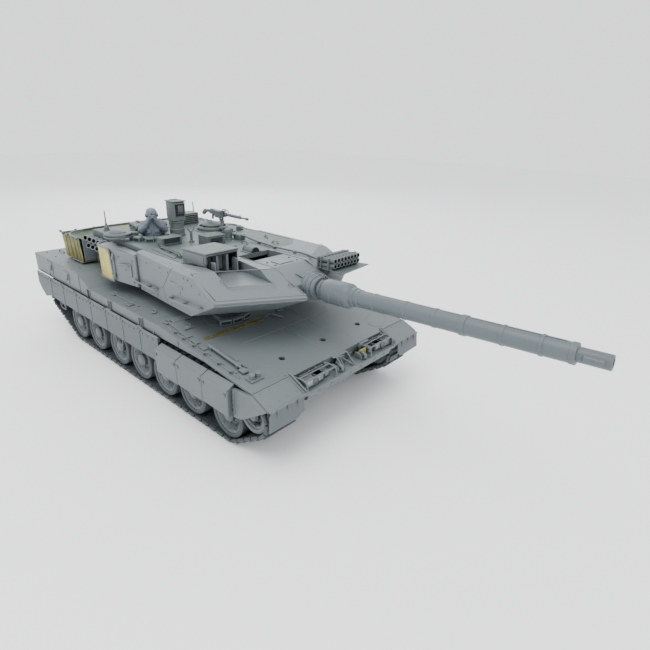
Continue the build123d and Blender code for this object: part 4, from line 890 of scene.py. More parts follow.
# Glacis frame: X down the slope, Y to the left and Z out of the plate
glacisTurn = math.atan2(87.5 - 70.6, 115.0 + 24.5)
glacis = Matrix.Translation((-24.5, 0, 87.5)) @ Matrix.Rotation(glacisTurn, 4, "Y")
glacisUp = (sin(glacisTurn), 0, cos(glacisTurn))
glacisLook = {
    "studs": ((30, 12), (34, 40), (34, 70), (52, 4), (58, -70), (60, -34), (66, 26), (66, 58), (72, -62), (78, -20),
              (84, 8), (84, 44), (86, -46), (96, -72), (100, -28), (104, 20), (104, 76), (112, -80), (118, -30),
              (124, 30), (122, 72), (128, -14), (96, 96), (60, 92), (108, -46), (114, -66), (122, -62), (128, -50)),
    "seamLines": (((28, -12), (132, -12)), ((74, -88), (74, 88)), ((36, 22), (104, 22))),
}


def onGlacis(x, y, z=0.0):
    return glacis @ Vector((x, y, z))


def makeGlacis(look):
    part = Shape()
    for x, y in look["studs"]:
        part.rivet(onGlacis(x, y), glacisUp, 0.75)
        part.block(onGlacis(x + 2.2, y, 0.05), (1.6, 0.7, 0.35), 0.1, (0, math.degrees(glacisTurn), 0))
    for start, end in look["seamLines"]:
        part.pipe([onGlacis(*start, -0.05), onGlacis(*end, -0.05)], 0.32, 6, 0)
    # sunk plate outline round the driver's station and up to the turret
    for outline in (
        ((4, -66), (34, -70), (38, -16), (2, -12)),
        ((104, -104), (128, -100), (138, -70), (118, -66)),
        ((104, 104), (128, 100), (138, 70), (118, 66)),
    ):
        ring = [onGlacis(x, y, -0.05) for x, y in outline]
        part.pipe(ring, 0.4, 6, 1, closed=True)
    # rims round the three sockets, with their dark bottoms as painted shade
    for x, y in ((116.5, -55.0), (116.5, 1.0), (116.5, 57.0)):
        part.turned([(3.1, -3.0), (3.1, 0.25), (3.7, 0.25), (3.9, -0.1)], glacis @ Matrix.Translation((x, y, 0)),
            28)
        part.turned([(3.15, -0.5), (3.05, -2.5), (0, -2.6)], glacis @ Matrix.Translation((x, y, 0)), 28, tag=1)
    # low flat boxes and latches beside the hatch
    for x, y, sizeX, sizeY, height in (
        (12.0, -92.0, 20.0, 16.0, 1.6), (0.5, -86.0, 8.0, 20.0, 2.4), (28.0, -98.0, 16.0, 6.0, 1.2),
        (46.0, -99.0, 9.0, 5.0, 1.8), (60.0, -99.5, 7.0, 5.0, 1.4), (88.0, -88.0, 14.0, 3.0, 0.8),
    ):
        tilt = (0, math.degrees(glacisTurn), 0)
        part.block(onGlacis(x, y, height / 2 - 0.2), (sizeX, sizeY, height), 0.4, tilt)
        part.rivet(onGlacis(x - sizeX / 2 + 1.4, y + sizeY / 2 - 1.4, height - 0.25), glacisUp, 0.5)
        part.rivet(onGlacis(x + sizeX / 2 - 1.4, y - sizeY / 2 + 1.4, height - 0.25), glacisUp, 0.5)
    # tool clips in a row along the edge, each with a clamp jaw and wing nut
    for x in (22.0, 36.0, 52.0, 70.0, 90.0, 107.0):
        part.block(onGlacis(x, -104.0, 0.9), (3.2, 2.2, 2.2), 0.4, (0, math.degrees(glacisTurn), 0))
        part.pipe([onGlacis(x - 1.4, -105.4, 0.4), onGlacis(x, -105.6, 3.0), onGlacis(x + 1.6, -103.0, 2.6)],
            0.45, 6, 2)
        part.rivet(onGlacis(x + 2.8, -101.6, 0.2), glacisUp, 0.55, tag=1)
        part.block(onGlacis(x, -104.0, 2.0), (1.2, 0.9, 0.6), 0.1, (0, math.degrees(glacisTurn), 0), tag=1)
    # light rod with thinner ends in the two clamps, and a tool head
    rodTurn = Matrix.Rotation(pi / 2, 4, "Y")
    part.turned(
        [(0, -24.5), (0.9, -24.4), (0.95, -21.0), (1.55, -20.6), (1.6, 20.6), (0.95, 21.0), (0.9, 24.4), (0, 24.5)],
        glacis @ Matrix.Translation((85.0, -95.0, 2.5)) @ rodTurn, 16,
    )
    part.block(onGlacis(112.0, -95.5, 1.5), (7.5, 6.0, 2.4), 0.6, (0, math.degrees(glacisTurn), 0))
    part.block(onGlacis(104.0, -90.0, 0.8), (10.0, 1.6, 1.6), 0.3, (0, math.degrees(glacisTurn), 0))
    # wire loop and pads by the far side of the strip
    part.pipe([onGlacis(44, -12), onGlacis(46, -8, 3), onGlacis(52, -4, 3), onGlacis(58, 2, 0.4)], 0.5, 8, 2)
    part.block(onGlacis(50, -1, 0.5), (8.0, 5.0, 1.2), 0.3, (0, math.degrees(glacisTurn), 20))
    part.block(onGlacis(42, 10, 0.5), (5.0, 8.0, 1.4), 0.3, (0, math.degrees(glacisTurn), -10))
    part.build("glacisHardware", "hull", ["hullPlastic", "recessShadeAndBlackPlastic"], "hull_plastic")

    # perforated strip: clear round holes in two sizes, with a turned-up end
    strip = Shape()
    for x, y, radius in ((46.5, -82, 1.5), (46.5, -77, 0.7), (46.5, -66, 0.8), (46.5, -61, 1.4), (46.5, -57, 0.7),
        (46.5, -46, 0.8), (46.5, -40, 0.7), (46.5, -27, 0.8)):
        strip.turned([(radius + 0.5, -0.1), (radius + 0.5, 0.12), (radius, 0.12), (radius, -0.1)],
            glacis @ Matrix.Translation((x, y, 0.4)), 18)
        strip.turned([(radius, 0.06), (0, 0.06)], glacis @ Matrix.Translation((x, y, 0.4)), 18, tag=1)
    strip.pipe([onGlacis(44.1, -89.5, 0.5), onGlacis(44.1, -18.5, 0.5)], 0.22, 6, 0)
    strip.pipe([onGlacis(48.9, -89.5, 0.5), onGlacis(48.9, -18.5, 0.5)], 0.22, 6, 0)
    strip.build("stripHoles", "hull", ["dullBrass", "turretPlastic"], "etched_brass")


def makeDriverStation():
    part = Shape()
    for y, turn, x in ((-57.0, -18.0, 34.9), (-44.0, 0.0, 37.0), (-31.0, 18.0, 34.9)):
        spot = glacis @ place((x, y, 0), (0, 0, turn))
        part.block((0, 0, 2.7), (4.2, 11.6, 5.4), 0.5, matrix=spot)
        part.block((-0.4, 0, 5.5), (5.4, 12.6, 0.9), 0.3, matrix=spot)
        part.block((2.15, 0, 2.9), (0.5, 9.6, 3.2), 0.15, matrix=spot, tag=1)
        part.block((2.3, 0, 4.9), (0.6, 10.4, 0.5), 0.1, matrix=spot)
        part.block((2.3, 0, 1.0), (0.6, 10.4, 0.5), 0.1, matrix=spot)
    part.build("driverPeriscopes", "hull", ["turretPlastic", "sightGlass"], "hull_plastic")
    lid = Shape()
    centre = glacis @ Matrix.Translation((19.0, -44.0, 2.35))
    lid.turned([(13.6, 0), (13.2, 0.7), (11.6, 0.8), (11.2, 0.35), (0, 0.5)], centre, 40)
    for i in range(8):
        turn = 2 * pi * i / 8 + 0.2
        lid.bolt(centre @ Vector((12.4 * cos(turn), 12.4 * sin(turn), 0.7)), glacisUp, 0.7, 0.5)
    lid.pipe([centre @ Vector(p) for p in ((-5, -4, 0.4), (-5, -4, 2.6), (-5, 4, 2.6), (-5, 4, 0.4))], 0.5, 8, 2)
    lid.turned([(4.0, 0), (3.6, 0.9), (0, 1.1)], glacis @ Matrix.Translation((19.0, -26.0, 2.35)), 24)
    lid.block((0, 0, 0), (12.0, 3.0, 0.9), 0.3, matrix=glacis @ place((19.0, -33.0, 2.8), (0, 0, 90)))
    lid.build("driverLidTrim", "driver_lid", ["hullPlastic"], "hull_plastic")


makeGlacis(glacisLook)
makeDriverStation()
print("glacis ready")


# Nose: lamp clusters in bent frames, tow brackets, number plate frame and the mudguards
noseLook = {"ledge": 60.0, "lampRows": (58.0, 44.0), "frameRadius": 0.75}


def makeNose(look):
    part = Shape()
    ledge = look["ledge"]
    for side in (1, -1):
        # hooded lamp boxes on each side
        for y, width, height, front in ((58.0, 11.6, 8.8, 130.2), (44.0, 9.6, 8.0, 129.2), (33.0, 7.0, 6.4, 127.5)):
            spot = Vector((front - 4.4, side * y, ledge + height / 2))
            part.block(spot, (8.8, width, height), 0.7)
            part.block(spot + Vector((4.5, 0, height / 2 - 0.3)), (1.6, width, 0.7), 0.2)
            part.block(spot + Vector((4.35, 0, 0)), (0.4, width - 2.2, height - 2.4), 0.15, tag=2)
            for dy in (-1, 1):
                part.block(spot + Vector((4.5, dy * (width / 2 - 0.5), 0)), (0.7, 0.8, height - 0.8), 0.2)
                part.bolt(spot + Vector((-2.0, dy * (width / 2 - 1.2), height / 2)), (0, 0, 1), 0.7, 0.5)
        # round lamp between the boxes
        part.turned(
            [(0, 1.5), (2.2, 1.3), (3.0, 0.9), (3.2, 1.5), (3.6, 1.4), (3.7, -1.0), (2.6, -3.6), (0, -4.2)],
            along((129.5, side * 51.0, ledge + 3.9), (1, 0, 0)), 24,
        )
        # bent guard frame in front of and over the cluster
        for y in (26.5, 64.5):
            part.pipe([
                (118.0, side * y, ledge + 8.6), (126.0, side * y, ledge + 9.4), (132.6, side * y, ledge + 8.2),
                (133.6, side * y, ledge + 4.0), (133.4, side * y, ledge),
            ], look["frameRadius"], 8, 3)
            part.block((119.0, side * y, ledge + 7.4), (3.4, 2.6, 3.2), 0.5)
            part.bolt((120.7, side * y, ledge + 7.4), (1, 0, 0), 0.8, 0.7)
            part.block((133.2, side * y, ledge + 0.6), (3.0, 3.0, 1.4), 0.3)
        part.pipe([(131.6, side * 26.5, ledge + 8.9), (131.6, side * 64.5, ledge + 8.9)], look["frameRadius"], 8, 0)
        part.pipe([(124.0, side * 26.5, ledge + 9.4), (124.0, side * 64.5, ledge + 9.4)], look["frameRadius"], 8, 0)
        part.pipe([(119.4, side * 30.0, ledge + 8.0), (119.4, side * 61.0, ledge + 8.0)], 0.6, 8, 0)
        # cable from the lamps to the hull wall
        part.pipe([
            (124.0, side * 51.0, ledge + 5.0), (121.5, side * 47.0, ledge + 8.5), (118.6, side * 39.0, ledge + 5.0),
            (117.3, side * 36.0, ledge + 3.0),
        ], 0.55, 8, 3)
        # tow eye and pin on the ledge
        part.turned(
            [(3.4, 1.4), (3.9, 0.8), (3.9, -0.8), (3.4, -1.4), (2.1, -1.4), (1.7, -0.8), (1.7, 0.8), (2.1, 1.4),
            (3.4, 1.4)],
            along((130.5, side * 17.5, ledge + 3.6), (0, 1, 0)), 20,
        )
        for dy in (-2.6, 2.6):
            part.prism([(0, 0), (9, 0), (7.5, 5.2), (2.5, 6.4), (0, 6.4)],
                place((122.5, side * 17.5 + dy + 0.6, ledge), (90, 0, 0)), 1.2, 0.3)
        part.bolt((131.0, side * 17.5 + 3.8, ledge + 3.6), (0, 1, 0), 1.1, 0.9)
        # mudguard: raised rib beside the nose recess, fold lines and edge roll
        part.pipe([(113.5, side * 67.2, 71.9), (118.0, side * 67.2, 70.5), (135.0, side * 67.2, 62.4)], 0.8, 8, 1)
        part.pipe([(112.5, side * 71.0, 71.6), (134.0, side * 70.0, 62.6)], 0.5, 8, 0)
        part.pipe([(115.2, side * 70.0, 70.9), (115.2, side * 108.5, 70.8)], 0.5, 8, 0)
        part.pipe([(135.8, side * 66.5, 60.9), (135.8, side * 109.0, 60.9)], 0.9, 10, 0)
        for y in (74.0, 84.0, 94.0, 104.0):
            part.rivet((130.0, side * y, 64.0), (0.42, 0, 0.9), 0.55)
            part.rivet((118.5, side * y, 69.3), (0.42, 0, 0.9), 0.55)
        part.block((134.6, side * 66.2, 59.6), (2.6, 2.2, 2.4), 0.3, tag=1)
        part.block((135.2, side * 110.0, 60.3), (2.8, 1.4, 2.0), 0.3, tag=1)
    # long step under the cluster with small brackets
    part.block((134.6, 0, 59.3), (2.6, 128.0, 1.8), 0.4)
    for y in (-52, -36, -8, 8, 30, 46):
        part.block((135.2, y, 57.4), (1.6, 3.2, 2.4), 0.3)
        part.rivet((136.0, y, 57.6), (1, 0, 0), 0.5)
    # V shaped strut in the middle
    for y in (-13.5, 2.0):
        part.prism([(0, 0), (2.2, 0), (12.0, 9.6), (10.0, 9.6)], place((132.5, y, ledge), (90, 0, 180)), 1.4, 0.2)
    part.pipe([(131.8, -12.4, ledge + 0.6), (120.0, -7.0, ledge + 8.6), (131.8, 0.6, ledge + 0.6)], 0.85, 8, 0)
    part.prism([(-14, 0), (2, 0), (0.5, 8.0), (-10, 9.8)], place((120.4, -1.0, ledge), (90, 0, 90)), 1.2, 0.3)
    part.block((117.8, -5.5, ledge + 9.6), (5.6, 20.0, 1.0), 0.3, (0, 7, 0))
    part.block((118.4, 34.0, ledge + 9.0), (3.0, 14.0, 1.2), 0.3, (0, 7, 0))
    for y in (-46, -38, 8, 26, 50):
        part.prism([(0, 0), (3.2, 0), (1.0, 3.4), (0, 3.8)], place((117.4, y, ledge + 5.0), (90, 0, 0)), 1.3, 0.3)
        part.block((118.0, y + 4.0, ledge + 3.6), (1.8, 4.2, 3.4), 0.3)
        part.bolt((119.0, y + 4.0, ledge + 3.6), (1, 0, 0), 0.7, 0.5)
    # convoy number frame
    part.block((124.8, 22.0, ledge + 2.6), (2.0, 13.0, 6.6), 0.4)
    part.build("noseHardware", "hull", ["hullPlastic", "recessShadeAndBlackPlastic", "lampGlass"], "hull_plastic")
    tag = Shape()
    tag.block((126.0, 21.5, ledge + 5.2), (0.5, 8.6, 6.0), 0.15)
    tag.block((126.2, 26.4, ledge + 5.2), (0.6, 1.6, 6.6), 0.2)
    for z in (3.2, 7.2):
        tag.rivet((126.3, 18.2, ledge + z), (1, 0, 0), 0.45)
        tag.rivet((126.3, 24.8, ledge + z), (1, 0, 0), 0.45)
    tag.build("brassPlate", "hull", ["brass"], "etched_brass")


def makeMudflaps():
    # Thin flexible flaps that hang from the mudguards, slightly bowed, on three straps each
    flap = Shape()
    for side in (1, -1):
        rows = []
        for i in range(9):
            down = i / 8
            rows.append([])
            for j in range(13):
                share = j / 12
                y = 71.6 + share * (109.6 - 71.6 + 1.2 * down)
                foot = 48.0 + (43.2 - 48.0) * min(1.0, (y - 71.6) / 9.0) + max(0.0, (y - 80) / 30) * 0.9
                z = 60.6 + (foot - 60.6) * down
                bow = 1.2 * sin(pi * down) * sin(pi * share) + 0.9 * down
                rows[-1].append((136.4 + bow, side * y, z))
        flap.takeGrid(rows, unmoved)
        flap.takeGrid([[(x - 0.9, y, z) for x, y, z in row] for row in rows], unmoved)
        rim = [rows[i][0] for i in range(9)] + [rows[8][j] for j in range(1, 13)]
        rim += [rows[i][12] for i in range(7, -1, -1)] + [rows[0][j] for j in range(11, 0, -1)]
        flap.takeGrid([rim, [(x - 0.9, y, z) for x, y, z in rim]], unmoved, closeColumns=True)
        for y in (79.0, 90.5, 102.0):
            flap.block((137.4, side * y, 57.0), (0.9, 1.7, 6.2), 0.25)
            flap.rivet((137.9, side * y, 59.0), (1, 0, 0), 0.45)
            flap.block((137.3, side * y, 60.6), (1.2, 2.2, 1.4), 0.3)
    flap.build("mudflapSheets", "hull", ["skirtRubber"], "flap_rubber", replaces=["front_mudflaps"])


makeNose(noseLook)
makeMudflaps()
print("nose ready")


# Decks: engine deck hatches, handles, tie-downs, rear lamps and hooks
def makeDecks():
    part = Shape()
    for side in (1, -1):
        for x, y, turn in ((-97.0, 102.0, 0), (-60.0, 95.0, 20), (-26.0, 100.0, -10), (-140.0, 98.0, 0),
            (-8.0, 88.0, 30)):
            top = deckZ(x)
            part.block((x, side * y, top + 0.7), (8.0, 5.0, 1.6), 0.4, (0, 0, side * turn))
            part.pipe([
                (x - 3.4, side * (y - 1.5), top), (x - 3.0, side * (y - 1.5), top + 2.8),
                (x + 3.0, side * (y - 1.5), top + 2.8), (x + 3.4, side * (y - 1.5), top),
            ], 0.5, 8, 2)
            part.bolt((x + 2.6, side * (y + 1.2), top + 1.4), (0, 0, 1), 0.8, 0.6)
            part.bolt((x - 2.6, side * (y + 1.2), top + 1.4), (0, 0, 1), 0.8, 0.6)
        for x in (-160.0, -120.0, -80.0, -44.0):
            part.seam([(x, side * 82.0, 87.55), (x + 3, side * 108.0, 87.55)], 0.5, 0.15)
        # sill boxes along the inner fender edge
        part.block((-112.0, side * 97.0, 88.0), (52.0, 2.0, 1.4), 0.3)
        for x in (-330.0, -300.0, -262.0, -226.0):
            part.bolt((x, side * 98.0, 100.5), (0, 0, 1), 1.1, 0.8)
        part.pipe([(-325, side * 84, 100.3), (-325, side * 84, 103.4), (-310, side * 84, 103.4),
            (-310, side * 84, 100.3)], 0.7, 8, 2)
        # rims and screws of the fan covers, and frames of the intakes
        part.turned(
            [(25.6, 0), (25.6, 0.9), (26.4, 1.3), (28.0, 1.3), (28.6, 0.7), (28.8, 0)],
            Matrix.Translation((-285.0, side * 34.0, 100.4)), 48,
        )
        for i in range(12):
            turn = 2 * pi * i / 12
            part.bolt((-285 + 27.3 * cos(turn), side * 34 + 27.3 * sin(turn), 101.6), (0, 0, 1), 0.7, 0.5)
        part.turned([(3.6, 0), (3.4, 1.0), (0, 1.4)], Matrix.Translation((-285.0, side * 34.0, 100.2)), 24)
        for dx, dy, sizeX, sizeY in ((0, 31.2, 40.0, 2.4), (0, -31.2, 40.0, 2.4), (19.2, 0, 2.4, 62.0),
            (-19.2, 0, 2.4, 62.0), (0, 0, 2.0, 60.0)):
            part.block((-232.0 + dx, side * 40.0 + dy, 100.7), (sizeX, sizeY, 1.0), 0.3)
        # rear lamp cluster, tow hook and mud guard strut
        part.block((-341.0, side * 97.0, 92.0), (1.8, 14.0, 6.0), 0.5)
        for y in (93.5, 100.5):
            part.turned([(0, 0.9), (1.9, 0.8), (2.3, 0.2), (2.4, -0.6)],
                along((-341.6, side * y, 92.0), (-1, 0, 0)), 18, 2)
        part.prism([(0, 0), (4.2, 0), (4.2, 8), (0, 11)], place((-337.0, side * 48.0, 56.0), (90, 0, 180)), 3.0,
            0.5)
        part.turned(
            [(4.2, 1.2), (4.7, 0.6), (4.7, -0.6), (4.2, -1.2), (2.7, -1.2), (2.2, -0.6), (2.2, 0.6), (2.7, 1.2),
            (4.2, 1.2)],
            along((-337.0, side * 46.5, 64.0), (0, 1, 0)), 22,
        )
        for z in range(6):
            part.block((-340.6, side * 78.0, 82.0 + z * 2.4), (1.4, 38.0, 1.1), 0.25, (0, 28, 0))
    for x in (-316.0, -254.0):
        part.block((x, 0, 100.8), (3.0, 120.0, 1.0), 0.3)
    for y in (-58, -30, 30, 58):
        part.bolt((-254.0, y, 101.3), (0, 0, 1), 0.9, 0.6)
        part.bolt((-316.0, y, 101.3), (0, 0, 1), 0.9, 0.6)
    part.block((-200.0, 0, 100.0), (1.6, 150.0, 1.0), 0.2, (0, 25, 0))
    # turret ring cover with screws
    part.turned([(61.0, 0), (61.0, 3.6), (61.8, 3.9), (63.6, 3.4), (66.0, 0.6), (66.6, 0)],
        Matrix.Translation((-95.0, 0, 87.4)), 72)
    for i in range(30):
        turn = 2 * pi * i / 30
        part.bolt((-95 + 63.6 * cos(turn), 63.6 * sin(turn), 90.7), (0, 0, 1), 0.7, 0.6)
    part.build("deckHardware", "hull", ["hullPlastic", "recessShadeAndBlackPlastic", "lampGlass"], "hull_plastic")


makeDecks()
print("decks ready")


# Turret wedges: light bead along the leading edge, rivets under it, lifting eyes, welds and handrails
wedgeTip, wedgeCorner, beadTop, beadLow, roofHeight = (90.5, 21.5), (45.5, 93.1), 125.2, 121.6, 144.0
wedgeLook = {"topSlope": 0.528, "chinSlope": 0.5816, "rivetStep": 7.4}
edgeRun = Vector((wedgeCorner[0] - wedgeTip[0], wedgeCorner[1] - wedgeTip[1]))
edgeLong = edgeRun.length
edgeOut = Vector((edgeRun.y, -edgeRun.x)).normalized()


def onWedge(share, back, side=-1, lift=0.0):
    # A point on the sloped top: share runs from the tip to the outer corner, back is the distance behind the edge
    x = wedgeTip[0] + edgeRun.x * share - edgeOut.x * back
    y = wedgeTip[1] + edgeRun.y * share - edgeOut.y * back
    return Vector((x, side * y, beadTop + wedgeLook["topSlope"] * back + lift))


def underWedge(share, back, side=-1, lift=0.0):
    x = wedgeTip[0] + edgeRun.x * share - edgeOut.x * back
    y = wedgeTip[1] + edgeRun.y * share - edgeOut.y * back
    return Vector((x, side * y, beadLow - wedgeLook["chinSlope"] * back - lift))


def makeWedges(look):
    part = Shape()
    for side in (-1, 1):
        out = Vector((edgeOut.x, side * edgeOut.y, 0))
        slope = Vector((look["topSlope"] * out.x, look["topSlope"] * out.y, 1)).normalized()
        chin = Vector((look["chinSlope"] * out.x, look["chinSlope"] * out.y, -1)).normalized()
        # bead: two rounded lines with a narrow groove between them
        tip, corner = onWedge(0.0, 0.0, side), onWedge(1.0, 0.0, side)
        part.pipe([tip + out * 0.1 - Vector((0, 0, 0.5)), corner + out * 0.1 - Vector((0, 0, 0.5))], 0.75, 8, 0)
        part.pipe([onWedge(0.0, 2.4, side, 0.1), onWedge(0.985, 2.4, side, 0.1)], 0.5, 8, 0)
        part.pipe([tip - Vector((0, 0, 3.0)), corner - Vector((0, 0, 3.0))], 0.6, 8, 0)
        # the same bead turns back along the outer edge; a dark line up the crease is painted shade
        part.pipe([onWedge(1.0, 0.4, side, 0.1), (6.2, side * 91.4, 141.2)], 0.55, 8, 0)
        part.pipe([onWedge(0.975, 2.4, side, 0.05), (6.8, side * 88.6, 143.0)], 0.35, 8, 0, 1)
        # rivets below the bead and on the slope near its ends
        count = int(edgeLong / look["rivetStep"])
        for i in range(count):
            part.rivet(underWedge((i + 0.5) / count, 3.2, side), chin, 0.8)
        for share, back in ((0.08, 6), (0.3, 6), (0.52, 6), (0.74, 6), (0.93, 6), (0.12, 29), (0.36, 31),
            (0.86, 30), (0.93, 18)):
            part.rivet(onWedge(share, back, side), slope, 0.55)
        # small lifting eyes
        for share, back in ((0.17, 15), (0.9, 24)):
            spot = onWedge(share, back, side)
            part.pipe([spot, spot + Vector((1, 0, 1.8)), spot + Vector((3, side * 1.2, 1.8)),
                spot + Vector((4, side * 1.6, 0))], 0.45, 6, 2)
        # weld beads where the slope meets the roof and along the inner slot
        part.seam([(48.4, side * 21.9, 144.05), (5.6, side * 89.4, 143.6)], 0.8, 0.22)
        part.pipe([(88.6, side * 21.6, 126.4), (48.4, side * 21.6, 144.0), (-4.0, side * 21.6, 144.2)], 0.5, 8, 0)
        for x in (-2.0, 14.0, 30.0, 44.0):
            part.rivet((x, side * 24.4, 144.0), (0, 0, 1), 0.6)
        for x, y in ((-60.0, 82.0), (-36.0, 84.0), (-14.0, 86.0), (-84.0, 80.0)):
            part.rivet((x, side * y, 143.8), (0, side * 0.35, 1), 0.6)
        # side wall: sloping upper strip edge, bolts, a stencilled latch plate and the two handrails
        wall = lambda x: side * (85.5 + (x + 99.5) * 4.9 / 79.5 if x < -20 else 90.4 + (x + 20) * 2.7 / 65.5)
        for x, z in ((-78.6, 135.6), (-33.2, 136.1), (-3.1, 137.2), (-93.0, 108.0), (-93.0, 136.0),
            (-60.0, 105.5), (-50.0, 137.0), (10.0, 133.0), (4.0, 137.0), (-12.0, 120.0), (22.0, 128.0)):
            part.bolt((x, wall(x), z), (0, side, 0), 1.0, 0.7)
        for x in (-26.0, -20.0, -14.0, -8.0):
            part.block((x, wall(x) + side * 0.3, 126.4), (4.2, 0.9, 2.6), 0.3)
            part.rivet((x, wall(x) + side * 0.6, 126.4), (0, side, 0), 0.5)
        part.block((-17.0, wall(-17) + side * 0.15, 126.3), (26.0, 0.5, 4.4), 0.2)
        for start, end, z0, z1 in ((-104.0, -58.5, 111.0, 111.3), (-28.6, 26.0, 111.2, 114.2)):
            count = 4 if start < -100 else 5
            line = []
            for i in range(count):
                x = start + (end - start) * i / (count - 1)
                z = z0 + (z1 - z0) * i / (count - 1)
                line.append((x, wall(x) + side * 4.2, z))
            part.pipe([(start + 0.5, wall(start), z0 + 0.6), *line,
                (end + 0.6, wall(end) + side * 0.4, z1 + 0.6)], 0.85, 10, 3)
            for i in (0, count // 2, count - 1):
                x, y, z = line[i]
                part.block((x + (1.6 if i == 0 else -1.6 if i == count - 1 else 0), y - side * 2.4, z + 0.8),
                    (2.6, 4.6, 2.6), 0.6)
                part.bolt((x + (1.6 if i == 0 else -1.6 if i == count - 1 else 0), y, z + 2.2),
                    (0, side * 0.6, 1), 0.9, 0.7)
        for x in (-90, -72, -54, -30, -12, 4):
            part.rivet((x, wall(x), 104.4), (0, side, 0), 0.7)
        part.block((10.0, side * 88.0, 104.2), (8.0, 3.0, 1.2), 0.3, tag=0)
        # fold where the side face turns under the wedge
        part.pipe([(-47.6, wall(-47.6) + side * 0.05, 115.6), (8.0, wall(8.0) - side * 0.1, 109.6)], 0.3, 6, 0)
    part.build("wedgeHardware", "turret", ["turretPlastic", "recessShadeAndBlackPlastic"], "hull_plastic")


def makeChinBrackets():
    # Stays between the turret's underside and its front wall
    part = Shape()
    for side in (-1, 1):
        for y in (34.0, 46.0, 60.0):
            part.prism([(0, 0), (13.0, 5.0), (13.0, 8.0), (0, 8.0)],
                place((0.0, side * y + 0.8, 101.0), (90, 0, 0)), 1.6, 0.3)
        part.pipe([(4, side * 36, 103), (10, side * 50, 105), (14, side * 62, 104)], 0.6, 8, 2)
    part.build("chinBrackets", "turret", ["roofPlastic"], "deck_plastic")


makeWedges(wedgeLook)
makeChinBrackets()
print("wedges ready")


# Gunner's sight: roof plate, cheeks, window, two open door leaves with hinges
sightLook = {"top": 156.3, "left": -31.0, "right": -69.2, "front": 1.2, "back": -37.5}


def makeSight(look):
    part = Shape()
    middle = (look["left"] + look["right"]) / 2
    wide = look["left"] - look["right"]
    part.block(((look["front"] + look["back"]) / 2 + 0.6, middle, look["top"] - 0.1), (41.0, wide + 1.6, 1.3),
        0.35, (0, -2.2, 0), tag=3)
    part.block((look["front"] + 0.2, middle, look["top"] - 1.6), (1.0, wide + 0.6, 2.0), 0.3)
    for x, y in ((-32, -34.5), (-32, -65.5), (-14, -34.5), (-14, -65.5), (-2, -50.0), (-20, -50)):
        part.rivet((x, y, look["top"] + 0.2 + (x + 18) * 0.038), (-0.04, 0, 1), 0.6, tag=3)
    # dark lining as painted shade in the opening, mullions and glass
    part.block((-10.6, middle, 145.2), (0.6, 33.0, 17.0), 0.0, tag=1)
    for y in (-34.0, -66.2):
        part.block((-3.6, y, 145.2), (14.6, 0.5, 17.2), 0.0, tag=1)
    part.block((-3.6, middle, 154.2), (14.4, 32.8, 0.4), 0.0, tag=1)
    part.block((-8.4, -50.0, 144.4), (5.6, 9.6, 15.0), 0.6)
    part.block((-5.4, -50.0, 146.2), (0.6, 7.4, 8.8), 0.3, tag=2)
    part.block((-8.4, -61.0, 143.4), (5.0, 6.6, 13.0), 0.5)
    part.block((-5.7, -61.0, 145.4), (0.6, 4.8, 6.6), 0.2, tag=2)
    for y in (-44.2, -56.0):
        part.block((-3.4, y, 144.8), (8.6, 1.1, 18.4), 0.3)
        part.block((1.4, y, 144.8), (1.6, 2.6, 18.4), 0.4)
    # door leaves folded outward beside the opening
    for y, turn in ((-36.0, -12.0), (-63.6, 10.0)):
        part.block((4.4, y, 141.6), (9.0, 1.5, 14.4), 0.4, (0, 0, turn))
        part.block((0.6, y, 146.0), (1.8, 2.8, 3.0), 0.5, (0, 0, turn))
        part.block((0.6, y, 138.4), (1.8, 2.8, 3.0), 0.5, (0, 0, turn))
        for z in (137.5, 145.5):
            part.bolt((6.6, y + (1.0 if y > -50 else -1.0), z), (0, 1 if y > -50 else -1, 0), 0.6, 0.4)
    # cheek plates: chamfered lower front, bolts and a weld
    part.block((-19.0, look["right"] - 0.35, 149.6), (36.0, 0.7, 10.0), 0.25)
    for x in (-34, -24, -14, -4):
        part.rivet((x, look["right"] - 0.7, 153.4), (0, -1, 0), 0.55)
    part.seam([(-37.0, look["right"] - 0.4, 144.2), (-8.0, look["right"] - 0.4, 144.2)], 0.7, 0.3)
    part.seam([(-37.6, -68.6, 144.2), (-37.6, -31.6, 144.2)], 0.7, 0.3)
    # trough lip, floor rivets and gutter
    part.pipe([(2.0, -69.5, 143.9), (42.0, -73.0, 134.9), (66.0, -38.0, 134.9), (20.0, -32.4, 144.1),
        (3.0, -30.8, 144.2)], 0.35, 6, 0)
    for x, y in ((20, -42), (20, -62), (40, -44), (38, -64), (56, -40)):
        part.rivet((x, y, 134.6), (0, 0, 1), 0.6)
    part.build("sightHood", "turret", ["turretPlastic", "recessShadeAndBlackPlastic", "sightGlass", "roofPlastic"], "hull_plastic")


makeSight(sightLook)
print("sight ready")


# Roof: periscope rings, boxes, grab bars, non-slip seams and vents
def periscope(part, x, y, z, turn, wide=9.0, tall=5.4, tags=(0, 1)):
    spot = place((x, y, z), (0, 0, turn))
    outline = [(-3.4, 0), (3.2, 0), (3.2, tall * 0.72), (1.8, tall), (-2.6, tall), (-3.4, tall * 0.7)]
    part.prism([(a, b) for a, b in outline], spot @ place((0, wide / 2, 0), (90, 0, 0)), wide, 0.35, tags[0])
    part.block((3.0, 0, tall * 0.42), (0.8, wide - 1.8, tall * 0.5), 0.15, matrix=spot, tag=tags[1])
    part.block((2.7, 0, tall * 0.86), (1.6, wide + 0.4, 0.6), 0.2, (0, 24, 0), matrix=spot, tag=tags[0])


roofLook = {"crewHatch": (-148.0, -39.0), "loaderHatch": (-142.0, 40.0), "ringHeight": 2.6}


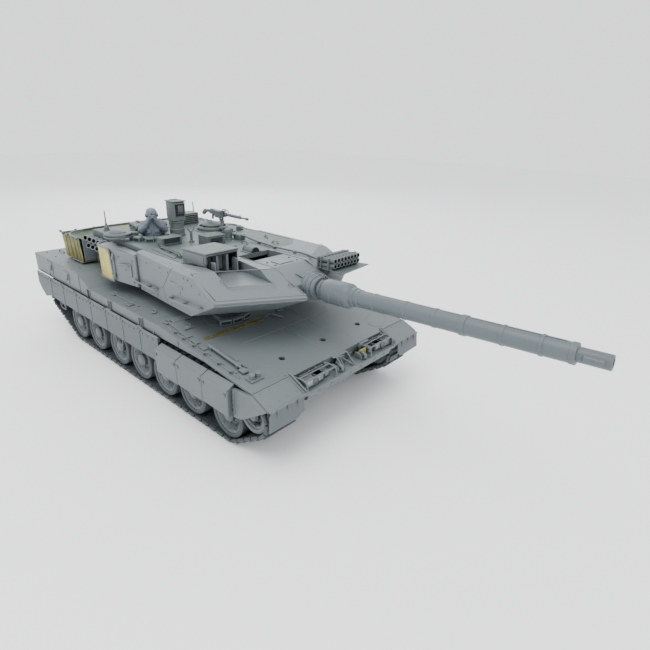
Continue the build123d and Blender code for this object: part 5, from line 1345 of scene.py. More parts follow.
def makeRoof(look):
    part = Shape()
    cx, cy = look["crewHatch"]
    top = roofHeight
    # crew hatch: stepped coaming with bolts and periscopes round its outer half
    part.turned([(13.2, -2.0), (13.2, 3.4), (14.0, 3.9), (15.8, 3.9), (16.6, 3.2), (17.2, 2.6), (18.2, 2.2),
        (18.6, 0)],
                Matrix.Translation((cx, cy, top)), 56)
    # dark inner wall of the open hatch: painted shade
    part.turned([(12.9, 2.0), (12.9, -3.0)], Matrix.Translation((cx, cy, top)), 56, tag=1)
    for i in range(16):
        turn = 2 * pi * i / 16
        part.rivet((cx + 15.0 * cos(turn), cy + 15.0 * sin(turn), top + 3.8), (0, 0, 1), 0.55)
    for turn, reach in ((-72, 24.0), (-38, 24.5), (-4, 25.0), (30, 24.5), (-106, 23.5), (-140, 23.0)):
        a = radians(turn)
        x, y = cx + reach * cos(a), cy + reach * sin(a)
        if -75.0 < y < -20.0:
            periscope(part, x, y, top - 0.1, turn, tags=(0, 2))
    # raised periscope box with a wide window in front of the hatch, and its side mirror
    part.block((-104.0, -44.0, top + 4.6), (10.6, 25.0, 9.2), 0.8)
    part.block((-98.6, -44.0, top + 5.2), (0.5, 19.0, 5.2), 0.2, tag=2)
    part.block((-98.9, -44.0, top + 8.6), (2.4, 25.6, 0.9), 0.3, (0, 14, 0))
    for y in (-55.6, -32.4):
        part.block((-104.0, y, top + 2.0), (7.0, 2.2, 4.2), 0.5)
        part.bolt((-101.0, y, top + 4.0), (0, 0, 1), 0.8, 0.6)
    # sloping side panel beside the boxes, with a rail and clips
    for x0, x1, y in ((-98.0, -52.0, -60.0), (-90.0, -44.0, -63.5)):
        part.pipe([(x0, y, top), (x0 + 1, y, top + 3.2), (x1 - 1, y - 3.5, top + 3.2), (x1, y - 3.5, top)], 0.7,
            8, 2)
    for x, y in ((-88.0, -61.4), (-70.0, -63.0), (-54.0, -64.4), (-46.0, -66.8)):
        part.block((x, y, top + 1.4), (3.2, 3.4, 3.0), 0.5)
        part.bolt((x, y, top + 2.8), (0, 0, 1), 0.9, 0.7, tag=1)
    part.prism([(0, 0), (52, 0), (44, 9), (6, 12)], place((-98.0, -70.0, top - 0.2), (0, 0, -4)), 1.0, 0.3)
    # loader's side: coaming in the dark finish as painted shade round the lid, bolts, antenna bases, vents and
    # rings
    lx, ly = look["loaderHatch"]
    part.turned([(14.1, -3.0), (14.1, 2.5), (14.8, 2.7), (16.6, 2.65)], Matrix.Translation((lx, ly, top)), 56,
        tag=1)
    for i in range(14):
        turn = 2 * pi * i / 14
        part.bolt((lx + 21.6 * cos(turn), ly + 21.6 * sin(turn), top), (0, 0, 1), 0.7, 0.6)
    part.turned([(20.0, 0.1), (20.6, 0.9), (23.0, 0.9), (23.6, 0.1)], Matrix.Translation((lx, ly, top)), 56)
    periscope(part, lx + 29.0, ly + 4.0, top - 0.1, 12.0, tags=(0, 2))
    periscope(part, lx + 24.0, ly + 24.0, top - 0.1, 48.0, tags=(0, 2))
    # half-round cover and its end plates, textured box, canister rim, cradle post
    rows = []
    for i in range(13):
        turn = pi * i / 12
        rows.append([(x, 3.0 + 5.3 * cos(turn), top + 0.1 + 5.3 * sin(turn)) for x in (-27.8, -20.0, -12.2)])
    part.takeGrid(rows, unmoved)
    for x in (-27.4, -12.6):
        part.turned([(5.7, 0.5), (5.7, -0.5), (4.6, -0.5), (4.6, 0.5)], along((x, 3.0, top), (1, 0, 0)), 32)
    # dark disc in the cover's open end: painted shade
    part.turned([(0, 0.05), (4.6, 0.05)], along((-12.3, 3.0, top), (1, 0, 0)), 32, tag=1)
    for dy in (-7.2, 7.2):
        part.block((-20.0, 3.0 + dy, top + 0.35), (15.4, 3.0, 0.8), 0.2)
        for dx in (-5.0, 5.0):
            part.rivet((-20.0 + dx, 3.0 + dy, top + 0.7), (0, 0, 1), 0.5)
    part.block((-78.0, -6.0, top + 10.0), (18.6, 24.6, 0.9), 0.3)
    for i in range(6):
        part.block((-78.0, -16.0 + i * 4.0, top + 10.6), (16.6, 1.4, 0.5), 0.15)
    for dx, dy in ((-8, -11), (8, -11), (-8, 11), (8, 11)):
        part.block((-78.0 + dx, -6.0 + dy, top + 5.0), (1.8, 1.8, 9.6), 0.3)
    part.block((-68.6, -6.0, top + 5.4), (0.8, 15.0, 5.6), 0.2, tag=2)
    part.turned([(0, 11.6), (3.0, 11.6), (3.4, 11.0), (5.7, 11.0), (5.9, 10.2), (5.9, 9.0), (5.5, 8.6),
        (5.5, 1.6), (6.6, 1.2), (6.8, 0)],
                Matrix.Translation((-84.0, 20.0, top)), 32)
    for i in range(6):
        turn = 2 * pi * i / 6
        part.bolt((-84 + 4.6 * cos(turn), 20 + 4.6 * sin(turn), top + 11.2), (0, 0, 1), 0.6, 0.5)
    part.block((-74.0, 30.0, top + 3.2), (12.0, 9.0, 6.4), 0.6)
    part.pipe([(-80, 30, top + 6), (-84, 34, top + 8), (-90, 30, top + 6), (-92, 26, top + 1)], 0.7, 8, 3)
    part.turned([(0, 12.2), (1.4, 12.0), (1.5, 2.0), (3.0, 1.2), (3.2, 0)],
        Matrix.Translation((-98.0, -20.0, top)), 20)
    part.pipe([(-98.0, -24.5, top + 17.0), (-98.0, -21.6, top + 12.0), (-98.0, -18.4, top + 12.0),
        (-98.0, -15.5, top + 17.0)], 0.8, 8, 2)
    # small fittings over the centre plate
    for x, y in ((-66, 8), (-52, -12), (-46, 14), (-34, -18), (-112, 4), (-118, -14), (-60, 46), (-40, 56),
        (-96, 60), (-30, 66), (-206, -60), (-224, 20), (-180, 62)):
        part.rivet((x, y, top), (0, 0, 1), 0.8)
    for x, y, turn in ((-52, 20, 10), (-60, 60, -20), (-120, 68, 0), (-206, 66, 0), (-176, -4, 30), (-30, 48, 12)):
        spot = place((x, y, top), (0, 0, turn))
        part.pipe([spot @ Vector(p) for p in ((-4, 0, -0.2), (-3.6, 0, 2.6), (3.6, 0, 2.6), (4, 0, -0.2))], 0.55,
            8, 2)
        part.block((-4, 0, 0.3), (2.4, 2.4, 0.8), 0.2, matrix=spot)
        part.block((4, 0, 0.3), (2.4, 2.4, 0.8), 0.2, matrix=spot)
    part.turned([(0, 1.6), (4.6, 1.4), (5.4, 0.8), (5.6, 0)], Matrix.Translation((-52.0, 2.0, top)), 28)
    part.turned([(0, 2.4), (6.0, 2.2), (7.4, 1.2), (7.6, 0)], Matrix.Translation((-206.0, -8.0, top)), 32)
    for line in (((-235, -66), (-102, -72)), ((-235, 66), (-102, 72)), ((-102, -24), (-30, -24)),
        ((-102, 26), (-36, 26)), ((-38, 26), (-14, 56)), ((-38, -24), (-14, -27))):
        part.seam([(*line[0], top), (*line[1], top)], 0.6, 0.2)
    # edge rail and coarse weld where the roof meets the side
    part.pipe([(-232, -71.6, top + 0.1), (-99.5, -77.2, top + 0.1), (-34, -77.2, top + 0.1)], 0.45, 6, 0)
    part.pipe([(-232, 71.6, top + 0.1), (-99.5, 77.2, top + 0.1), (-34, 77.2, top + 0.1)], 0.45, 6, 0)
    # louvred cabinet: frame and slats, with a dark plate behind them as painted shade
    part.block((-199.0, 33.0, top + 14.0), (19.2, 35.2, 0.9), 0.3)
    for i in range(5):
        part.block((-189.6, 33.0, top + 2.6 + i * 2.5), (2.2, 31.0, 0.6), 0.15, (0, 35, 0))
    part.block((-190.0, 33.0, top + 7.4), (0.5, 31.0, 12.0), 0.0, tag=1)
    for y in (16.6, 49.4):
        part.block((-189.6, y, top + 7.2), (1.8, 1.6, 13.8), 0.3)
    for x in (-205.0, -199.0, -193.0):
        for i in range(4):
            part.block((x, 15.8, top + 3.2 + i * 2.8), (4.4, 0.7, 1.0), 0.2, (20, 0, 0))
    part.build("roofHardware", "turret", ["roofPlastic", "recessShadeAndBlackPlastic", "sightGlass"], "deck_plastic")


def makeAerials():
    part = Shape()
    for x, y in ((-219.0, -62.0), (-219.0, 62.0)):
        part.turned([
            (4.2, 0), (4.0, 0.9), (2.9, 1.2), (2.7, 3.4), (3.1, 3.8), (2.2, 5.2), (1.9, 6.0), (1.5, 6.6),
            (1.6, 7.2),
            (1.2, 7.8), (1.3, 8.4), (0.9, 9.2), (0.62, 24.0), (0.5, 24.6), (0, 24.8),
        ], Matrix.Translation((x, y, roofHeight)), 20)
        for i in range(4):
            turn = pi * (i + 0.5) / 2
            part.bolt((x + 3.5 * cos(turn), y + 3.5 * sin(turn), roofHeight + 1.0), (0, 0, 1), 0.5, 0.4)
    part.build("aerials", "turret", ["roofPlastic"], "deck_plastic", replaces=["antennas"])


makeRoof(roofLook)
makeAerials()
print("roof ready")


# Panoramic sight: faceted head with a hooded window on a turned neck
def makePanoramicSight():
    part = Shape()
    low, high = boxOf("panoramic_sight")
    x, y, top = (low.x + high.x) / 2, (low.y + high.y) / 2, high.z
    part.turned([
        (9.4, 0.2), (9.4, 1.6), (8.6, 2.2), (8.6, 8.0), (8.0, 8.6), (8.0, 15.0), (8.7, 15.6), (8.7, 17.4),
        (7.6, 18.0),
    ], Matrix.Translation((x, y, 144.0)), 36)
    part.prism(
        [(-8.5, -6.4), (-6.2, -8.5), (6.4, -8.5), (8.2, -7.0), (8.2, 7.0), (6.4, 8.5), (-6.2, 8.5), (-8.5, 6.4)],
        Matrix.Translation((x, y, 162.0)), top - 163.2, 0.6,
    )
    part.block((x + 0.4, y, top - 0.6), (18.2, 18.0, 1.2), 0.5)
    # dark recess round the window: painted shade
    part.block((x + 8.3, y, 175.0), (0.7, 11.4, 14.4), 0.2, tag=1)
    part.block((x + 8.6, y + 1.6, 175.6), (0.5, 7.0, 10.6), 0.3, tag=2)
    part.block((x + 9.3, y, top - 3.0), (2.4, 14.2, 1.0), 0.3, (0, 14, 0))
    for dy in (-6.6, 6.6):
        part.block((x + 8.9, y + dy, 175.0), (1.6, 1.2, 15.4), 0.3)
        part.block((x - 1.0, y + dy * 1.29, 173.0), (9.0, 1.0, 12.0), 0.3)
        for z in (168.6, 177.6):
            part.bolt((x + 2.6, y + dy * 1.34, z), (0, copysign(1, dy), 0), 0.7, 0.5)
            part.bolt((x - 4.6, y + dy * 1.34, z), (0, copysign(1, dy), 0), 0.7, 0.5)
    for i in range(5):
        part.block((x - 8.7, y, 167.0 + i * 3.0), (0.8, 12.0, 1.0), 0.2)
    part.pipe([(x - 4, y - 5, top), (x - 4, y - 5, top + 0.6), (x - 4, y + 5, top + 0.6), (x - 4, y + 5, top)],
        0.4, 8, 1)
    part.build("panoramicHead", "panoramic_head", ["roofPlastic", "recessShadeAndBlackPlastic", "sightGlass"], "deck_plastic",
               replaces=["panoramic_sight"])


def makeHatches():
    lid = Shape()
    # commander's lid raised on its posts, with a stepped dome and a gap under it
    lid.turned([
        (0, 5.6), (3.0, 5.5), (5.8, 4.9), (7.6, 4.0), (9.0, 3.5), (9.2, 2.6), (13.2, 2.3), (14.2, 1.7), (14.4, 0.9),
        (14.0, 0.1), (12.8, -0.3), (0, -0.3),
    ], Matrix.Translation((-158.0, -76.5, 150.9)), 56)
    lid.turned([(14.9, 0.9), (14.9, -0.6), (12.0, -0.6), (12.0, 0.9), (14.9, 0.9)],
        Matrix.Translation((-158.0, -76.5, 149.2)), 56, tag=0)
    for i in range(10):
        turn = 2 * pi * i / 10
        lid.rivet((-158 + 11.6 * cos(turn), -76.5 + 11.6 * sin(turn), 153.2), (0, 0, 1), 0.5)
    for i in range(4):
        turn = 2 * pi * i / 4 + 0.5
        lid.turned([(0.9, 0.2), (0.9, 2.6)], Matrix.Translation((-158 + 12 * cos(turn), -76.5 + 12 * sin(turn),
            148.9)), 10)
    lid.block((-155.4, -66.4, 151.6), (6.0, 15.0, 2.2), 0.7)
    lid.turned([(2.4, 0), (2.4, 3.6), (3.2, 3.8), (3.2, 5.0), (2.6, 5.6), (0, 5.7)],
        Matrix.Translation((-154.0, -60.5, 146.9)), 24)
    lid.build("commanderLid", "commander_lid", ["roofPlastic"], "deck_plastic", replaces=["commander_hatch"])
    lid = Shape()
    lid.turned([
        (0, 5.0), (3.6, 4.8), (7.0, 4.0), (9.8, 2.9), (11.4, 2.2), (12.2, 2.6), (13.2, 2.2), (14.0, 1.2),
        (14.0, 0.2), (12.6, 0.0), (0, 0.0),
    ], Matrix.Translation((-142.0, 40.0, 149.6)), 56)
    for i in range(8):
        turn = 2 * pi * i / 8
        lid.rivet((-142 + 11.0 * cos(turn), 40 + 11.0 * sin(turn), 151.9), (0, 0, 1), 0.5)
    lid.pipe([(-138, 36, 154), (-138, 36, 156), (-146, 36, 156), (-146, 36, 154)], 0.6, 8, 2)
    lid.prism([(-2.6, 0), (2.6, 0), (2.0, 13.5), (-2.0, 13.5)], place((-147.0, 51.0, 149.8), (0, 0, 22)), 1.8, 0.4)
    lid.turned([(2.0, 0), (2.0, 5.0), (2.9, 5.4), (2.9, 6.6), (0, 6.9)],
        Matrix.Translation((-152.0, 63.0, 144.2)), 24)
    lid.build("loaderLid", "loader_lid", ["roofPlastic"], "deck_plastic", replaces=["loader_hatch"])


def makeWeapon():
    # Ring with rollers and a forked post, then the weapon itself
    ring = Shape()
    ring.turned([(19.4, 0), (19.4, 0.8), (18.6, 1.2), (18.6, 2.0), (18.0, 2.5), (17.2, 2.5), (17.0, 0.1)],
        Matrix.Translation((-142.0, 40.0, 146.8)), 64)
    for i in range(12):
        turn = 2 * pi * (i + 0.5) / 12
        ring.bolt((-142 + 18.1 * cos(turn), 40 + 18.1 * sin(turn), 149.0), (0, 0, 1), 0.6, 0.5)
    ring.block((-122.0, 40.0, 148.6), (5.6, 6.4, 3.4), 0.6)
    ring.turned([(2.2, 0), (2.0, 2.0), (1.4, 3.0), (1.4, 8.6), (2.0, 9.2), (2.0, 10.6)],
        Matrix.Translation((-122.0, 40.0, 149.0)), 20)
    for dy in (-1.85, 1.85):
        ring.prism([(-2.0, 0), (2.0, 0), (1.6, 4.2), (-1.6, 4.2)],
            place((-122.0, 40.0 + dy + 0.6, 158.6), (90, 0, 0)), 1.2, 0.25)
        ring.bolt((-122.0, 40.0 + dy * 1.4, 161.6), (0, copysign(1, dy), 0), 0.9, 0.5)
    ring.build("weaponRing", "ring", ["turretPlastic"], "hull_plastic", replaces=["weapon_ring"])
    gun = Shape()
    gun.block((-128.0, 40.0, 167.2), (34.0, 4.2, 5.4), 0.5)
    gun.block((-130.0, 40.0, 170.3), (26.0, 3.6, 1.2), 0.3)
    gun.block((-122.0, 40.0, 164.4), (16.0, 3.2, 1.6), 0.4)
    gun.block((-122.0, 40.0, 163.0), (3.8, 1.7, 3.0), 0.3)
    gun.block((-140.0, 42.4, 167.4), (4.0, 0.8, 2.0), 0.2)
    gun.turned([
        (0, -15.0), (2.0, -15.0), (2.1, -13.0), (1.7, -12.6), (1.7, 16.0), (1.2, 17.0), (1.0, 18.0), (1.0, 24.6),
        (1.7, 25.2), (1.7, 28.6), (1.2, 29.2), (0.8, 29.2), (0.8, 26.0), (0, 26.0),
    ], along((-98.0, 40.0, 167.4), (1, 0, 0)), 18)
    for i in range(8):
        gun.turned([(1.72, -0.7), (2.0, -0.5), (2.0, 0.5), (1.72, 0.7)],
            along((-106.0 + i * 3.0, 40.0, 167.4), (1, 0, 0)), 16)
    gun.block((-84.0, 40.0, 169.6), (1.2, 0.7, 3.0), 0.2)
    gun.block((-114.0, 40.0, 171.4), (2.4, 2.4, 1.6), 0.3)
    gun.pipe([(-120, 40, 170.6), (-118, 40, 173.4), (-108, 40, 173.2), (-106, 40, 170.0)], 0.6, 8, 2)
    gun.prism([(0, 0), (-14.0, -1.0), (-19.0, -7.0), (-14.6, -8.6), (-9.0, -4.2), (0, -3.6)],
        place((-144.0, 41.7, 169.6), (90, 0, 0)), 3.4, 0.6)
    gun.prism([(0, 0), (3.4, 0), (1.6, -7.0), (-1.4, -6.6)], place((-141.0, 40.9, 164.8), (90, 0, 0)), 1.8, 0.4)
    gun.pipe([(-137, 40, 164.6), (-136, 40, 161.6), (-131.6, 40, 161.8), (-131, 40, 164.4)], 0.4, 6, 2)
    # ammunition box with a lid and a short belt
    gun.block((-118.0, 33.8, 167.6), (9.6, 7.0, 8.0), 0.5)
    gun.block((-118.0, 33.8, 171.9), (10.2, 7.6, 0.9), 0.3)
    for i in range(5):
        gun.turned([(0, -1.6), (0.55, -1.6), (0.55, 1.0), (0.2, 2.2), (0, 2.2)],
            along((-118.0, 36.2 + i * 0.9, 171.8 - i * 0.25), (1, 0, 0)), 8)
    gun.build("roofWeapon", "weapon", ["gunPlastic"], "hull_plastic", replaces=["machine_gun"])


makePanoramicSight()
makeHatches()
makeWeapon()
print("hatches and weapon ready")


# Launcher bank: two rows of open tubes on a triangular plate, each with a rim
launcherLook = {"plate": 138.6, "tubes": 8, "pitch": 5.2, "first": 24.6}


def makeLaunchers(look):
    part = Shape()
    plate = look["plate"]
    part.prism([(59.8, 21.8), (97.4, 21.8), (92.4, 70.4), (57.8, 60.4)], Matrix.Translation((0, 0, plate)), 1.3,
        0.4)
    for row in (4.3, 9.6):
        for i in range(look["tubes"]):
            spot = along((64.0, look["first"] + i * look["pitch"], plate + row), (1.0, 0, 0.06))
            part.turned([
                (0, 0), (1.9, 0), (2.2, 0.5), (2.55, 0.6), (2.55, 16.8), (2.8, 17.1), (2.8, 20.6), (2.5, 21.0),
                (1.95, 21.0), (1.9, 20.6),
            ], spot, 20)
            # dark inside of each tube: painted shade
            part.turned([(1.92, 20.8), (1.85, 11.0), (0, 10.6)], spot, 20, tag=1)
    for x in (68.0, 78.0):
        part.block((x, 42.8, plate + 7.0), (1.6, 45.0, 12.6), 0.4)
    part.block((63.4, 42.8, plate + 7.2), (2.4, 44.0, 10.6), 0.5)
    for y in (23.4, 62.0):
        part.block((74.0, y, plate + 1.9), (16.0, 1.8, 1.6), 0.3)
        for x in (68.5, 79.5):
            part.bolt((x, y, plate + 2.6), (0, 0, 1), 0.7, 0.5)
    for x, y in ((90.0, 26.0), (93.0, 34.0), (88.0, 64.0), (90.0, 50.0), (62.0, 57.0)):
        part.rivet((x, y, plate + 1.3), (0, 0, 1), 0.6)
    part.prism([(60.4, plate), (80.0, plate), (74.0, 132.4), (60.4, 138.0)], place((0, 27.0, 0), (90, 0, 0)), 3.0,
        0.4)
    part.pipe([(60.0, 31.0, plate + 5.6), (62.6, 31.0, plate + 5.6)], 1.7, 12, 0)
    part.build("launcherBank", "turret", ["roofPlastic", "recessShadeAndBlackPlastic"], "deck_plastic", replaces=["launcher_bank"])


def makeHose():
    # Ribbed hose from the canister to the launchers, in clips, on one smooth line
    route = [
        (-79.2, 24.0, 150.0), (-68.0, 31.0, 150.0), (-54.0, 34.0, 145.9), (-34.0, 33.0, 145.9),
        (-12.0, 30.0, 146.0),
        (10.0, 31.0, 146.2), (32.0, 33.5, 146.2), (47.0, 33.0, 144.8), (59.0, 31.0, 144.2),
    ]
    curve = bpy.data.curves.new("hoseLine", "CURVE")
    curve.dimensions = "3D"
    line = curve.splines.new("NURBS")
    line.points.add(len(route) - 1)
    for point, spot in zip(line.points, route):
        point.co = (*spot, 1.0)
    line.order_u = 3
    line.use_endpoint_u = True
    curve.resolution_u = 14
    guide = bpy.data.objects.new("hoseLine", curve)
    bpy.context.scene.collection.objects.link(guide)
    bpy.context.view_layer.update()
    followed = bpy.data.meshes.new_from_object(guide.evaluated_get(bpy.context.evaluated_depsgraph_get()))
    spots = [v.co.copy() for v in followed.vertices]
    bpy.data.objects.remove(guide)
    part = Shape()
    rows, count, travel = [], 14, 0.0
    for i, spot in enumerate(spots):
        ahead, behind = spots[min(i + 1, len(spots) - 1)], spots[max(i - 1, 0)]
        travel += (spot - behind).length if i else 0.0
        frameAt = along(spot, ahead - behind)
        radius = 1.12 + 0.09 * sin(travel * 2.6)
        rows.append([frameAt @ Vector((radius * cos(a), radius * sin(a),
            0)) for a in (2 * pi * k / count for k in range(count))])
    part.takeGrid(rows, unmoved, closeColumns=True)
    for index in (0, len(spots) - 1):
        ahead = (spots[1] - spots[0]) if index == 0 else (spots[-1] - spots[-2])
        part.turned([(0, -1.4), (1.7, -1.4), (1.9, -0.9), (1.9, 0.9), (1.6, 1.4), (0, 1.4)],
            along(spots[index], ahead), 16)
    for share in (0.3, 0.5, 0.7):
        spot = spots[int(share * len(spots))]
        part.block(spot + Vector((0, 0, -0.6)), (2.2, 4.6, 2.2), 0.4)
        part.bolt(spot + Vector((0, 2.0, 0.2)), (0, 0, 1), 0.6, 0.5)
    part.build("launcherHose", "turret", ["gunPlastic"], "flap_rubber", replaces=["roof_hose"])


def makeSmokeTubes():
    # Two rows of short cups on a stepped bracket at each rear corner
    part = Shape()
    for side in (-1, 1):
        part.block((-208.0, side * 76.0, 130.0), (56.0, 3.2, 13.0), 0.5)
        part.block((-208.0, side * 77.0, 122.8), (50.0, 4.6, 1.6), 0.4)
        for z, shift in ((134.5, 0.0), (126.0, 6.0)):
            for i in range(4):
                x = -228.0 + shift + i * 11.5
                spot = along((x, side * 77.0, z), (0.55, side * 1.0, 0.3))
                part.turned([
                    (3.9, -1.5), (3.9, 1.0), (3.2, 1.6), (3.0, 2.6), (3.0, 9.0), (3.4, 9.4), (3.4, 12.2),
                    (3.0, 12.6), (2.5, 12.5), (2.4, 11.8),
                ], spot, 24)
                # dark inside of each cup: painted shade
                part.turned([(2.45, 12.2), (2.35, 4.0), (0, 3.6)], spot, 24, tag=1)
                part.bolt(spot @ Vector((0, 3.2, 4.5)), (0, 0, 1), 0.7, 0.6)
        for x in (-232.0, -220.0, -200.0, -186.0):
            part.rivet((x, side * 77.6, 122.9), (0, side, 0), 0.6)
        # bent feed wires
        part.pipe([(-196, side * 80, 131), (-188, side * 82, 138), (-176, side * 82, 137),
            (-166, side * 80, 131)], 0.45, 6, 3)
    part.build("smokeTubes", "turret", ["turretPlastic", "recessShadeAndBlackPlastic"], "hull_plastic",
        replaces=["smoke_launchers"])
    wires = Shape()
    for side in (-1, 1):
        for shift, rise in ((0, 0), (2.5, 2.4), (5.0, -1.2)):
            wires.pipe([
                (-194 + shift, side * 81.5, 130 + rise), (-184 + shift, side * 84.5, 135.5 + rise),
                (-170 + shift, side * 84.0, 134 + rise),
                (-158 + shift, side * 82.0, 137.4),
            ], 0.35, 6, 3)
    wires.build("brassWires", "turret", ["brass"], "etched_brass")


makeLaunchers(launcherLook)
makeHose()
makeSmokeTubes()
print("launchers ready")


# Rear basket: thin brass walls in a tube frame with clips, a mesh cover drawn over its top
basketLook = {"low": 103.1, "high": 134.6, "lean": 1.7, "rear": -288.0, "front": -236.6, "half": 88.0}


def makeBasket(look):
    low, high, half, rear, front = (look[k] for k in ("low", "high", "half", "rear", "front"))
    flare = look["lean"]
    wall = Shape()
    rim = [(front, -half - flare), (rear - flare, -half - flare), (rear - flare, half + flare),
        (front, half + flare)]
    foot = [(front, -half), (rear, -half), (rear, half), (front, half)]
    for (x0, y0), (x1, y1), (u0, v0), (u1, v1) in zip(foot[:-1], foot[1:], rim[:-1], rim[1:]):
        count = max(4, int(math.dist((x0, y0), (x1, y1)) / 8))
        for inset in (0.0, 0.6):
            rows = []
            for j in range(7):
                up = j / 6
                rows.append([])
                for i in range(count + 1):
                    s = i / count
                    dent = 0.35 * noise.noise(Vector((s * 5.0, up * 2.0, x0 * 0.1 + y0 * 0.05)))
                    x = (x0 + (x1 - x0) * s) * (1 - up) + (u0 + (u1 - u0) * s) * up
                    y = (y0 + (y1 - y0) * s) * (1 - up) + (v0 + (v1 - v0) * s) * up
                    push = inset + dent
                    inward = Vector((1 if abs(x1 - x0) < 1 else 0, 0 if abs(x1 - x0) < 1 else -copysign(1, y0), 0))
                    rows[-1].append((x + inward.x * push, y + inward.y * push, low + (high - low) * up))
            wall.takeGrid(rows, unmoved)
    wall.block(((rear + front) / 2, 0, low + 0.4), (front - rear, 2 * half - 1.0, 0.8), 0.2)
    # etched rows of lightening slots: fine raised rims along the walls
    for side in (-1, 1):
        for x in (-278, -266, -254, -244):
            wall.block((x, side * (half + 1.2), 119.0), (0.7, 0.6, 28.0), 0.15, (-side * 3.1, 0, 0))
    for y in range(-76, 77, 19):
        wall.block((rear - 1.1, y, 119.0), (0.6, 0.7, 28.0), 0.15, (0, 3.1, 0))
    wall.build("basketWalls", "turret", ["dullBrass"], "etched_brass", replaces=["stowage_basket"])
    tube = Shape()
    top = [(front - 1, -half - flare - 0.6, high + 0.4), (rear - flare - 0.8, -half - flare - 0.6, high + 0.4),
           (rear - flare - 0.8, half + flare + 0.6, high + 0.4), (front - 1, half + flare + 0.6, high + 0.4)]
    tube.pipe(top, 1.0, 10, 3)
    lower = [(p[0] + (2.0 if p[0] < -250 else 0), p[1] * 0.985, low + 0.2) for p in top]
    tube.pipe(lower, 0.7, 8, 2)
    for x, y in [(x, s * (half + flare + 0.6)) for s in (-1, 1) for x in (-284, -270, -256,
        -243)] + [(rear - flare - 0.8, y) for y in range(-72, 73, 24)]:
        tube.block((x, y, high - 0.4), (3.0, 3.0, 3.2), 0.6)
        tube.rivet((x, y, high + 1.4), (0, 0, 1), 0.7)
    for y in (-half - flare, half + flare):
        tube.turned([(0, 1.2), (1.6, 1.0), (1.7, 0), (1.2, -1.0), (0, -1.2)],
            along((rear - flare - 2.4, y, high + 0.4), (-1, 0, 0)), 14)
    tube.block((-237.8, 0, 119.0), (2.0, 172.0, 29.0), 0.4)
    for y in range(-70, 71, 28):
        tube.block((-239.4, y, 119.0), (1.6, 3.0, 28.0), 0.4)
    # stays to the turret's rear wall
    for side in (-1, 1):
        tube.pipe([(-237, side * 78, 133), (-240, side * 86, 131), (-246, side * 88, 122)], 0.6, 8, 2)
    tube.build("basketFrame", "turret", ["turretPlastic"], "hull_plastic")


def makeBasketCover(look):
    # Mesh cover: one sheet laced to the rim, sagging between the laces
    half, rear, front, high = look["half"], look["rear"], look["front"], look["high"]
    across, down = 60, 20
    rows = []
    for i in range(down + 1):
        s = i / down
        rows.append([])
        for j in range(across + 1):
            t = j / across
            x = front - 3.0 + (rear + 3.2 - front) * s
            y = -half + 1.2 + 2 * (half - 1.2) * t
            edge = min(s, 1 - s, 4 * t, 4 * (1 - t))
            sag = 3.4 * min(1.0, edge * 2.6) ** 0.7
            ripple = 0.6 * noise.noise(Vector((x * 0.09, y * 0.06, 3.0))) + 0.25 * noise.noise(Vector((x * 0.3,
                y * 0.3, 8.0)))
            scallop = 0.7 * abs(sin(pi * t * 9)) * (1 - min(1.0, 6 * edge))
            rows[-1].append((x, y, high - 1.2 - sag + ripple - scallop))
    cover = Shape()
    cover.takeGrid(rows, unmoved)
    made = cover.build("meshCover", "turret", ["greenMesh"], "canvas", 60.0)


